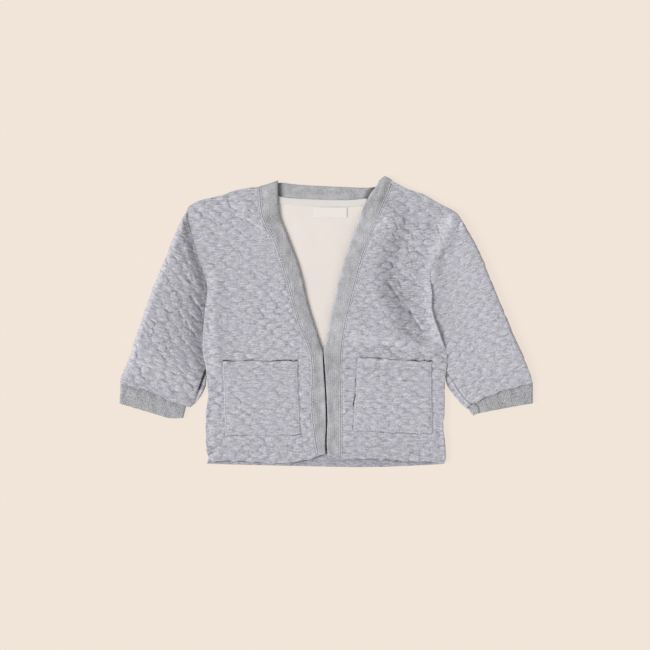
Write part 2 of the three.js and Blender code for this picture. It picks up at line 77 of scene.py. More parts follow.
# Outlines of the laid-out garment. Sides run from the hem to the shoulder's tip.
LEFT_SIDE = points(
    (-143.4, -169.5), (-141.2, -160), (-144.6, -143), (-144.6, -116), (-142.4, -94), (-144, -60),
    (-148.4, -36), (-147.4, -4), (-144.8, 22), (-142.8, 40), (-146.6, 56), (-153.2, 75),
    (-159.6, 99), (-165.2, 119), (-168, 132),
)
RIGHT_SIDE = points(
    (140, -169.8), (143.4, -157), (140.2, -128), (142, -96), (142.2, -70), (145.2, -42),
    (136.4, -16), (127.4, 12), (126.6, 34), (123.4, 58), (126.4, 72), (137, 84.6),
    (146.4, 96), (156.6, 113), (162, 121.8),
)
LEFT_SHOULDER = points(
    (-168, 132), (-163.8, 138.6), (-149.4, 145.8), (-125.4, 151), (-109.8, 157), (-79.8, 162)
)
RIGHT_SHOULDER = points(
    (162, 121.8), (154.2, 131.4), (133.8, 142.2), (116, 152.6), (98, 158.6), (79.8, 168)
)
LEFT_SEAM = points(
    (-9, -161), (-12.8, -142), (-17.2, -104), (-17.8, -44), (-34.2, 2), (-49, 56),
    (-61.8, 95.4), (-73.8, 119.4), (-78.4, 138), (-79.8, 162),
)
LEFT_EDGE = points(
    (-1.2, -157), (-1.3, -142), (-0.5, -118), (-1.3, -94), (-2.6, -70), (-3.9, -52),
    (-4.6, -44), (-4.7, -36), (-6.9, -27), (-10.9, -14), (-21.6, 20), (-32.4, 65.4),
    (-46.2, 102.6), (-55, 126), (-58.2, 149.4), (-57.6, 169),
)
RIGHT_SEAM = points(
    (17.4, -166), (17.4, -106), (16.8, -44), (23.4, 2), (40.8, 71.4), (53.4, 107.4),
    (71.4, 148), (79.8, 168), (82.4, 174),
)
RIGHT_EDGE = points(
    (1.0, -158), (0.2, -142), (1.1, -118), (0.3, -94), (-1.0, -70), (-2.3, -52),
    (-3.0, -44), (-3.5, -36), (-2.0, -27), (0.8, -14), (7.8, 20), (22.2, 77.4),
    (37.8, 120.6), (48.6, 145.8), (63, 168.6), (69, 174),
)
LEFT_HEM = points((-143.4, -169.5), (-115, -168), (-70, -170), (-36, -169), (-9, -162))
RIGHT_HEM = points((17.4, -165.6), (50, -165.4), (90, -167.4), (140, -169.8))
BACK_HEM = points(
    (-143.4, -170.6), (-100, -171.8), (-20, -173.6), (30, -174.6), (60, -174.5),
    (90, -173.5), (140, -171),
)
BACK_NECK = points(
    (-79.8, 161), (-70, 156.4), (-57, 150.2), (-30, 147.6), (20, 146), (55, 148.2),
    (70, 157.6), (79.8, 167),
)
NECKBAND_TOP = points((-70, 161.8), (-57, 166.4), (-30, 163.8), (20, 161.4), (55, 161), (72, 169))


class Seed(IntEnum):
    """The seeds of the noises that don't belong to a quilting."""

    INSIDE_WIDE = 31
    INSIDE_FINE = 32
    BAND_WIDE = 41
    BAND_FINE = 42
    NECKBAND_WIDE = 43
    NECKBAND_FINE = 44
    CUFF_WIDE = 51
    CUFF_FINE = 52
    GATHERS = 53
    TAPE = 61
    STITCHES = 71
    EDGES = 77
    MOUTHS = 78
    RIM_SHADE = 79
    POCKET_SHADE = 80


class Side(Enum):
    """A side of the garment, seen from above."""

    LEFT = -1
    RIGHT = 1

    @property
    def word(self) -> str:
        """The side's name as the pieces have it."""
        return self.name.lower()

    def order(self, outer: Any, inner: Any) -> tuple[Any, Any]:
        """What lies away from the body's middle and what lies towards it, from left to right."""
        return (outer, inner) if self is Side.LEFT else (inner, outer)


@dataclass(frozen=True)
class Outline:
    """The lines that one half of the body is drawn by."""

    side: Array
    shoulder: Array
    seam: Array
    edge: Array
    hem: Array


OUTLINES = {
    Side.LEFT: Outline(LEFT_SIDE, LEFT_SHOULDER, LEFT_SEAM, LEFT_EDGE, LEFT_HEM),
    Side.RIGHT: Outline(RIGHT_SIDE, RIGHT_SHOULDER, RIGHT_SEAM, RIGHT_EDGE, RIGHT_HEM),
}
# The bottom and the top of each front band
BAND_ENDS = {
    Side.LEFT: (
        points((-9.6, -161.4), (-6, -160), (-0.4, -159.2)),
        points((-80, 162), (-66, 166), (-57, 169.4)),
    ),
    Side.RIGHT: (
        points((-0.4, -159.2), (5, -161.2), (10, -163.6), (17.4, -165.6)),
        points((58, 164.4), (62.6, 168.6), (69.4, 174.4), (75.6, 171.6), (81, 167.6)),
    ),
}
# The pockets' corners, anticlockwise from the bottom left
POCKETS = {
    Side.LEFT: points((-121.8, -137.4), (-30.6, -136.2), (-34.2, -46.8), (-124.8, -48)),
    Side.RIGHT: points((31.8, -131.4), (127.8, -135), (126.6, -47.4), (37.2, -43.2)),
}
# The sleeves' lower ends, wavy where they are gathered into the cuffs, and the turn of their rows
SLEEVE_TURNS = {Side.LEFT: -21.6, Side.RIGHT: 18.7}
CUFF_SEAMS = {
    Side.LEFT: points(
        (-246.6, -74), (-233.4, -77.4), (-223.8, -81), (-211.8, -83.4), (-199.8, -89.4),
        (-187.8, -95.4), (-175.8, -100.2), (-163.8, -103.2),
    ),
    Side.RIGHT: points(
        (169.6, -103.2), (173.8, -99.4), (182.4, -95), (189.4, -90.4), (202.8, -87),
        (208.6, -83), (220.2, -81), (232.2, -77.4), (247.8, -73.8),
    ),
}
# Along these lines the upper layer of a sleeve or cuff ends and its lower layer shows beside it
UNDER_FOLDS = {
    Side.LEFT: points(
        (-141, -46), (-143.8, -53), (-145.8, -59), (-149.2, -69.6), (-153, -80.4), (-156.6, -90.6),
        (-160, -99.8), (-164, -109),
    ),
    Side.RIGHT: points(
        (186, -107), (177, -99.6), (173.4, -98.8), (169.6, -96.4), (164, -91), (156.2, -80.2),
        (152.6, -74), (147.6, -66.6), (143.2, -59.4), (139, -48),
    ),
}
CUFF_FOLD = points(
    (182.4, -120), (183, -110), (182.8, -105), (180.8, -101), (177.5, -98.6), (172, -97)
)
# The inner line of each sleeve from the cuff to the armpit, and its outer line up to the shoulder
SLEEVE_UNDERS = {
    Side.LEFT: points(
        (-166.6, -106.4), (-160.8, -102), (-155.2, -96), (-150.6, -89), (-145.4, -79.6),
        (-143.9, -69), (-144.8, -54),
    ),
    Side.RIGHT: points(
        (169.8, -103.6), (163.6, -97.8), (155.8, -90), (148, -80.8), (144.4, -75.6),
        (143.1, -69), (144.4, -52),
    ),
}
SLEEVE_OUTERS = {
    Side.LEFT: points(
        (-246.8, -75.4), (-246, -66), (-233.4, -34), (-218.4, 12), (-203.4, 52),
        (-191.4, 81), (-179.4, 110), (-168, 132),
    ),
    Side.RIGHT: points(
        (247.4, -74), (238.8, -48.6), (220, -5), (202, 38), (184.2, 81),
        (173.4, 102.6), (162, 121.8),
    ),
}
# The outer side, the inner side and the wrist of each cuff
CUFF_LINES = {
    Side.LEFT: (
        points((-246.4, -99), (-246.4, -74)),
        points((-175, -125), (-169.6, -106)),
        points((-246.4, -99), (-221.4, -106.2), (-197.4, -113.4), (-187, -116), (-171, -115.6)),
    ),
    Side.RIGHT: (
        points((245.4, -96.6), (247, -73)),
        points((177.8, -118), (167.2, -99)),
        points((174.6, -113.8), (182, -110.2), (208, -105), (229.8, -101), (245.2, -98.4)),
    ),
}


def smooth(table: Array, count: int = 90) -> Array:
    """A curve through the points of a table.

    Args:
        table: the points.
        count: how many pieces the curve has.

    Returns:
        The curve's points.
    """
    last = len(table) - 1
    t = np.linspace(0, last, count + 1)
    i = np.minimum(t.astype(int), last - 1)
    w = (t - i)[:, None]
    p0, p1 = table[np.maximum(i - 1, 0)], table[i]
    p2, p3 = table[i + 1], table[np.minimum(i + 2, last)]
    v0, v1 = (p2 - p0) / 2, (p3 - p1) / 2
    return (2 * p1 - 2 * p2 + v0 + v1) * w**3 + (3 * p2 - 3 * p1 - 2 * v0 - v1) * w**2 + v0 * w + p1


def smoothstep(t: Array, low: float, high: float) -> Array:
    """0 below low, 1 above high, and a soft step between."""
    s = np.clip((t - low) / (high - low), 0, 1)
    return s * s * (3 - 2 * s)


def fall(t: Array, low: float, high: float) -> Array:
    """1 below low, 0 above high, and a soft step between."""
    return 1 - smoothstep(t, low, high)


def bell(t: Array, middle: float, wide: float) -> Array:
    """1 at the middle, falling softly towards 0 at both sides."""
    return np.exp(-(((t - middle) / wide) ** 2))


def flat(x: Array, _: Array) -> Array:
    """The height of the surface that the garment lies on."""
    return np.zeros_like(x)


def round_off(distance: Array, radius: float) -> Array:
    """A quarter of a circle: 0 at the edge of the cloth, 1 from the given distance inwards."""
    t = np.clip(1 - distance / radius, 0, 1)
    return np.sqrt(1 - t * t)


def beside(line: Array, x: Array, y: Array) -> tuple[Array, Array]:
    """How far each point lies from a line, and how far to the left of it.

    Args:
        line: the line's points.
        x: the points' x.
        y: the points' y.

    Returns:
        The distances, and the distances to the left.
    """
    best, signed = np.full(x.shape, np.inf), np.zeros(x.shape)
    for a, b in zip(line[:-1], line[1:]):
        d = b - a
        t = np.clip(((x - a[0]) * d[0] + (y - a[1]) * d[1]) / (d @ d), 0, 1)
        ex, ey = x - a[0] - t * d[0], y - a[1] - t * d[1]
        gap = np.hypot(ex, ey)
        turn = (d[0] * ey - d[1] * ex) / math.hypot(*d)
        nearer = gap < best
        best, signed = np.where(nearer, gap, best), np.where(nearer, turn, signed)
    return best, signed


def inside_by(corners: Array, x: Array, y: Array) -> Array:
    """How far a point lies inside a convex outline whose corners run anticlockwise.

    Args:
        corners: the outline's corners.
        x: the points' x.
        y: the points' y.

    Returns:
        The distances, below 0 outside.
    """
    made = np.full_like(x, np.inf)
    for a, b in zip(corners, np.roll(corners, -1, axis=0)):
        cross = (b[0] - a[0]) * (y - a[1]) - (b[1] - a[1]) * (x - a[0])
        made = np.minimum(made, cross / math.hypot(*(b - a)))
    return made


def hollows(height: Array, steps: int = 3) -> Array:
    """How far a grid of heights stands over its own surroundings: below zero in every hollow.

    Args:
        height: the heights.
        steps: how many steps of the grid the surroundings reach, counted twice over.

    Returns:
        The heights less the same heights smoothed.
    """
    span = 2 * steps + 1
    even = height
    for _ in range(4):
        even = np.pad(even.T, ((steps + 1, steps), (0, 0)), mode="edge")
        sums = np.cumsum(even, axis=0)
        even = (sums[span:] - sums[:-span]) / span
    return height - even


class Line:
    """A function through pairs of numbers, straight between them and past them."""

    SPAN = 2.0  # the stretch at each end that gives the slope past it

    def __init__(self, keys: Array, values: Array) -> None:
        """Sorts the pairs."""
        order = np.argsort(keys, kind="stable")
        self.keys, self.values = keys[order], values[order]

    def __call__(self, t: Array) -> Array:
        """The function's value at each t."""
        keys, values = self.keys, self.values
        made = np.interp(t, keys, values)
        low, high = keys[0], keys[-1]
        first = (np.interp(low + self.SPAN, keys, values) - values[0]) / self.SPAN
        last = (values[-1] - np.interp(high - self.SPAN, keys, values)) / self.SPAN
        return made + first * np.minimum(t - low, 0) + last * np.maximum(t - high, 0)


@dataclass(frozen=True)
class ClothFrame:
    """The directions of a panel's rows, turned by some degrees from the body's."""

    turn: float = 0.0

    @property
    def cos(self) -> float:
        """The cosine of the turn."""
        return math.cos(math.radians(self.turn))

    @property
    def sin(self) -> float:
        """The sine of the turn."""
        return math.sin(math.radians(self.turn))

    def cloth(self, xy: Array) -> tuple[Array, Array]:
        """How far across and along the cloth each point lies."""
        x, y = xy[..., 0], xy[..., 1]
        return x * self.cos + y * self.sin, y * self.cos - x * self.sin

    def place(self, u: Array, v: Array) -> tuple[Array, Array]:
        """The x and y of a point of the cloth."""
        return u * self.cos - v * self.sin, u * self.sin + v * self.cos

    def side(self, line: Array) -> Line:
        """A side of the cloth: across, by along."""
        u, v = self.cloth(line)
        return Line(v, u)

    def end(self, line: Array) -> Line:
        """An end of the cloth: along, by across."""
        u, v = self.cloth(line)
        return Line(u, v)


class Noise:
    """Smooth noise over the plane from a seeded table, and a fixed number for each whole cell."""

    SIZE = 64

    def __init__(self, seed: int) -> None:
        """Fills the table. Each seed gives a noise of its own."""
        self.table = np.random.default_rng(int(seed)).uniform(-1, 1, (self.SIZE, self.SIZE))

    def cell(self, i: Array, j: Array) -> Array:
        """The number of a cell, from -1 to 1."""
        return self.table[i % self.SIZE, j % self.SIZE]

    def at(self, x: Array, y: Array) -> Array:
        """The noise at a point, from -1 to 1."""
        i, j = np.floor(x).astype(int), np.floor(y).astype(int)
        s, t = x - i, y - j
        s, t = s * s * (3 - 2 * s), t * t * (3 - 2 * t)
        low = self.cell(i, j) * (1 - s) + self.cell(i + 1, j) * s
        high = self.cell(i, j + 1) * (1 - s) + self.cell(i + 1, j + 1) * s
        return low * (1 - t) + high * t


@dataclass(frozen=True)
class Crease:
    """A soft ridge, or a trough where high is negative, with a lip along its left side."""

    path: tuple[tuple[float, float], ...]
    high: float
    wide: float
    lip: float = 0.0

    def rise(self, x: Array, y: Array) -> Array:
        """How far the crease lifts each point."""
        table = points(*self.path)
        line = smooth(table, 6 * (len(table) - 1)) if len(table) > 2 else table
        reach = 4 * self.wide
        low, high = line.min(0) - reach, line.max(0) + reach
        near = (x > low[0]) & (x < high[0]) & (y > low[1]) & (y < high[1])
        made = np.zeros_like(x)
        best, signed = beside(line, x[near], y[near])
        end = np.maximum(best**2 - signed**2, 0) / self.wide**2
        main = self.high * bell(best, 0, self.wide)
        side = self.lip * np.exp(-(((signed - 1.7 * self.wide) / self.wide) ** 2) - end)
        made[near] = main + side
        return made


def creased(table: Sequence[Crease]) -> Height:
    """The height that a table of creases adds."""
    return lambda x, y: sum((c.rise(x, y) for c in table), np.zeros_like(x))


# The right front stands off the back as far as this line, and falls steeply beyond it
FALL = points(
    (84, 140), (88, 122), (80, 104), (74, 86), (69, 68), (69, 50), (73, 32), (84, 14), (92, -4),
    (104, -22),
)


def stand_off(x: Array, y: Array) -> Array:
    """How far the right front stands off the back, 1 at most."""
    beyond = beside(FALL, x, y)[1]
    return fall(beyond, -17, 15) * smoothstep(y, -60, 0) * fall(y, 112, 150)


# The body's large soft folds
FOLDS = creased(
    (
        Crease(((150, 118), (142, 100), (134, 82), (130, 62), (128, 40), (130, 14), (136, -16)), 3.6, 12),
        Crease(((36, -20), (78, -24), (126, -34)), 1.2, 7),
        Crease(((-135, 52), (-137, 0), (-134, -58)), 1.3, 9),
        Crease(((-104, 140), (-88, 128), (-74, 106)), 0.8, 8),
    )
)


def body_drape(x: Array, y: Array) -> Array:
    """How far the body's upper layer stands over the back."""
    return FOLDS(x, y) + STAND_OFF * stand_off(x, y) * (x > SLIT)


# The creases that show on each piece, each placed by its own length, depth and width
LEFT_FRONT_CREASES = creased(
    (
        Crease(((-118, 146), (-114, 137), (-107, 132)), -0.77, 1.26, 0.2),
        Crease(((-95, 121), (-86, 115), (-77, 110), (-66, 109)), -0.91, 1.35, 0.24),
        Crease(((-93, 134), (-88, 129)), -0.7, 1.17, 0.16),
        Crease(((-107, 110), (-92, 99)), -0.56, 1.35, 0.16),
        Crease(((-142, 96), (-131, 93)), -0.49, 1.26, 0.12),
        Crease(((-134, 119), (-130, 115)), -0.63, 1.08, 0.12),
        Crease(((-141, 130), (-137, 127)), -0.63, 1.08, 0.12),
        Crease(((-80, 61), (-75, 58)), -0.63, 1.08, 0.12),
        Crease(((-62, 2), (-58, 0)), -0.7, 0.99, 0.16),
        Crease(((-142, -2), (-140, -12)), -0.63, 1.17, 0.08),
        Crease(((-124, -20), (-120, -22)), -0.7, 0.99, 0.12),
        Crease(((-83, -110), (-77, -117)), -0.49, 1.26, 0.12),
        Crease(((-64, -122), (-52, -130)), -0.49, 1.17, 0.12),
        Crease(((-142, -113.4), (-137.4, -113.8)), -1.12, 0.9, 0.12),
        Crease(((-142, -155), (-137, -153.5)), -0.84, 1.17, 0.08),
    )
)
RIGHT_FRONT_CREASES = creased(
    (
        Crease(((76, 44), (82, 34), (88, 26)), -0.91, 1.8, 0.24),
        Crease(((100, 11), (106, 2), (113, -9)), -0.91, 1.62, 0.28),
        Crease(((70, -28), (80, -38), (88, -44)), -0.49, 2.16, 0.16),
        Crease(((88, -10), (110, -16), (136, -28)), -0.56, 2.34, 0.16),
        Crease(((108.6, 84.6), (114.6, 79.8)), -0.98, 1.17, 0.2),
        Crease(((101, 56), (105, 51)), -0.91, 1.17, 0.16),
        Crease(((77, 72), (80, 65)), -0.91, 1.26, 0.16),
        Crease(((93, 123), (95, 117)), -0.91, 1.08, 0.2),
        Crease(((83, 118), (86, 110)), -0.7, 1.17, 0.12),
        Crease(((103, 104), (105, 98)), -0.84, 1.08, 0.2),
        Crease(((111, 116), (112.5, 111)), -0.7, 1.08, 0.12),
        Crease(((132.6, 114), (135, 107)), -0.84, 1.08, 0.16),
        Crease(((137.4, 101), (139, 97)), -0.84, 0.99, 0.16),
        Crease(((120.6, 86), (123, 80)), -0.77, 1.17, 0.16),
        Crease(((113, 107), (118, 102)), -0.63, 1.35, 0.12),
        Crease(((80, 105), (84, 98)), -0.84, 1.08, 0.16),
        Crease(((97, 89), (99, 84)), -0.84, 0.99, 0.16),
        Crease(((116, 70), (118, 64)), -0.63, 1.17, 0.12),
        Crease(((86, 50), (90, 41)), -0.7, 1.44, 0.12),
        Crease(((122, 53), (126, 46)), -0.56, 1.26, 0.12),
    )
)
LEFT_SLEEVE_CREASES = creased(
    (
        Crease(((-162.6, 30), (-158, 24), (-151.6, 15)), -1.26, 1.53, 0.28),
        Crease(((-160, 6), (-154, 0)), -0.98, 1.26, 0.2),
        Crease(((-167.4, -1), (-164, -8)), -0.91, 1.26, 0.16),
        Crease(((-161.4, -10), (-157.6, -16)), -0.98, 1.17, 0.2),
        Crease(((-156.6, -18), (-151, -22)), -0.84, 1.17, 0.16),
        Crease(((-175.2, 11), (-171.6, 6)), -0.91, 1.17, 0.2),
        Crease(((-178.8, 33), (-175.2, 27)), -0.7, 1.17, 0.16),
        Crease(((-161, 55), (-159, 48)), -0.63, 1.35, 0.12),
        Crease(((-167, 72), (-164, 65)), -0.56, 1.35, 0.12),
        Crease(((-150.5, 47), (-148, 43), (-147, 38)), -1.12, 1.35, 0.16),
        Crease(((-166, 96), (-162, 88)), -0.63, 1.26, 0.12),
        Crease(((-216, 0), (-211, -6)), -0.84, 1.08, 0.2),
        Crease(((-221, -13), (-215, -20)), -0.77, 1.17, 0.2),
        Crease(((-211, -12), (-208, -17)), -0.84, 0.99, 0.16),
        Crease(((-195, -19), (-190, -24)), -0.77, 1.08, 0.16),
        Crease(((-190, 38), (-186, 32)), -0.7, 1.08, 0.16),
    )
)
RIGHT_SLEEVE_CREASES = creased(
    (
        Crease(((164, -77.4), (172, -74), (180, -72.2), (192, -70.4), (209, -70)), -0.7, 1.71, 0.2),
        Crease(((176, -78), (184, -75), (190, -70)), -0.56, 1.53, 0.16),
        Crease(((214, -64), (222, -60), (228, -59)), -0.49, 1.62, 0.12),
        Crease(((150, -45), (160, -41)), -0.77, 1.08, 0.12),
        Crease(((182.4, -36), (185, -37)), -0.63, 1.08, 0.12),
        Crease(((196, -34), (203, -26)), -0.49, 1.98, 0.12),
    )
)
# At its ends the neckband dips below the raised ends of the front bands
NECKBAND_CREASES = creased(
    (
        Crease(((-58.5, 170), (-57.4, 158), (-57, 148)), -1.3, 5.0),
        Crease(((66, 174), (58, 162), (49, 147)), -1.7, 4.2),
    )
)


@dataclass(frozen=True)
class Patch:
    """A part of a piece where the quilting stands higher or lower."""

    x: float
    y: float
    wide: float
    tall: float
    change: float


def patched(table: Sequence[Patch]) -> Height:
    """The share of its height that the quilting has at each point."""

    def share(x: Array, y: Array) -> Array:
        """The share at each point."""
        made = np.ones_like(x)
        for p in table:
            made += p.change * bell(x, p.x, p.wide) * bell(y, p.y, p.tall)
        return np.clip(made, 0.1, 1.8)

    return share


LEFT_FRONT_PATCHES = patched(
    (
        Patch(-92, 78, 50, 26, -0.5),
        Patch(-70, 20, 14, 60, -0.35),
        Patch(-30, -40, 12, 50, -0.4),
        Patch(-80, 0, 48, 34, 0.25),
        Patch(-132, -90, 14, 60, 0.2),
    )
)
RIGHT_FRONT_PATCHES = patched(
    (
        Patch(104, 70, 20, 62, 0.15),
        Patch(142, 105, 14, 22, -0.6),
        Patch(128, 40, 8, 30, -0.5),
        Patch(56, 70, 14, 30, -0.45),
        Patch(36, 0, 14, 40, -0.4),
        Patch(96, 0, 22, 26, 0.1),
    )
)


@dataclass(frozen=True)
class Quilting:
    """Puckered bubbles in rows, each row set half a bubble along from the last, all of them uneven.

    Heights are over the cloth between the bubbles. Many bubbles have a fold along a part of their edge.
    """

    loft: float = 1.35
    wide: float = 8.0  # half the width of a bubble
    tall: float = 4.7  # half its height along the cloth
    fold: float = 1.0  # how deep the folds are
    fold_wide: float = 0.8
    facing: float = 90.0  # where on a bubble its fold is, in degrees from its row
    turned: float = 0.55  # bubbles whose number is higher than this have it at the other side
    folded: float = -0.1  # and those whose number is higher than this have one at all
    wrinkle: float = 0.32
    seed: int = 1
    SHIFTS = (3.2, 1.5)  # how far a bubble may lie from its place, across and along
    UNEVEN = (0.24, 0.2)  # the share by which its width and height may differ

    def bubbles(self, u: Array, v: Array) -> Array:
        """The bubbles' height over the cloth.

        Args:
            u: across the cloth.
            v: along the cloth.

        Returns:
            Millimetres, a little below zero in the deepest folds.
        """
        warp_u, warp_v, soft, shift_u, shift_v, size, depth, spin, flip = (
            Noise(self.seed * 20 + k) for k in range(9)
        )
        su = u + 1.5 * warp_u.at(u / 16, v / 10)
        sv = v + 1.0 * warp_v.at(u / 18, v / 12)
        row = np.round(sv / ROW_PITCH).astype(int)
        top, folds = np.zeros_like(u), np.zeros_like(u)
        for j in (row + dj for dj in range(-2, 3)):
            offset = (j % 2) * BUBBLE_WIDTH / 2
            first = np.round((su - offset) / BUBBLE_WIDTH).astype(int)
            for k in (first + dk for dk in (-1, 0, 1)):
                cu = k * BUBBLE_WIDTH + offset + self.SHIFTS[0] * shift_u.cell(j, k)
                cv = j * ROW_PITCH + self.SHIFTS[1] * shift_v.cell(j, k)
                a = self.wide * (1 + self.UNEVEN[0] * size.cell(j, k))
                b = self.tall * (1 + self.UNEVEN[1] * size.cell(k, j))
                du, dv = (su - cu) / a, (sv - cv) / b
                r = np.hypot(du, dv)
                dome = np.sqrt(np.clip(1 - r * r, 0, 1)) * (0.85 + 0.3 * depth.cell(k, j))
                top = np.maximum(top, dome)
                middle = math.radians(self.facing) + 0.8 * spin.cell(j, k)
                middle = middle + math.pi * (flip.cell(j, k) > self.turned)
                towards = (du * np.cos(middle) + dv * np.sin(middle)) / np.maximum(r, 1e-6)
                part = smoothstep(towards, 0.5 + 0.3 * spin.cell(k, j), 1.0)
                ring = bell(r, 0.97, self.fold_wide / math.sqrt(self.wide * self.tall))
                deep = np.clip((depth.cell(j, k) - self.folded) * 1.3, 0, 1)
                folds = np.maximum(folds, ring * part * deep)
        return (self.loft * top - self.fold * folds) * (0.9 + 0.3 * soft.at(u / 34, v / 27))

    def wrinkles(self, u: Array, v: Array) -> Array:
        """Fine ridges and lines along the rows."""
        fine = Noise(self.seed * 20 + 9)
        lines = 0.6 * fine.at(u / 7.5, v / 1.6) + 0.5 * fine.at(u / 4.5 + 7, v / 2.7 + 5)
        return self.wrinkle * lines


@dataclass(frozen=True)
class Rim:
    """An edge of a cloth: its height over the underside, and how far in its rounding reaches.

    From some way along the cloth on it is sewn to its neighbour, and hardly rounded.
    """

    high: float = 1.5
    round: float = 2.4
    sewn_high: float = 1.8
    sewn_round: float = 0.9
    sewn_from: float = 1e6
    shade: float = 0.0  # painted shade: how much darker the rounding is, where it is free
    joined: bool = False  # sewn to its neighbour all along, and cut straight
    soft: bool = False  # a gentle slope and not a rounding
    change: float = 14.0  # the stretch over which it changes

    def at(self, v: Array) -> tuple[Array, Array]:
        """The height and the reach at each point."""
        share = smoothstep(v, self.sewn_from, self.sewn_from + self.change)
        high = self.high + (self.sewn_high - self.high) * share
        return high, self.round + (self.sewn_round - self.round) * share

    def shape(self, inset: Array, reach: Array) -> Array:
        """0 at the edge of the cloth, and 1 from its reach inwards."""
        return smoothstep(inset / reach, 0, 1) if self.soft else round_off(np.maximum(inset, 0), reach)

    def free(self, v: Array) -> Array:
        """1 where the edge hangs free, and 0 where it is sewn to its neighbour."""
        sewn = smoothstep(v, self.sewn_from - self.change, self.sewn_from)
        return (1 - sewn) * (not self.joined)


def side_sway(v: Array, sign: Array) -> Array:
    """How unevenly a side is cut along its length. The sign tells left from right."""
    return Noise(Seed.EDGES).at(v / 5, sign * 3.5)


def end_sway(u: Array) -> Array:
    """How unevenly an end is cut along its length."""
    return Noise(Seed.EDGES).at(u / 6.5, np.full_like(u, 7.5))


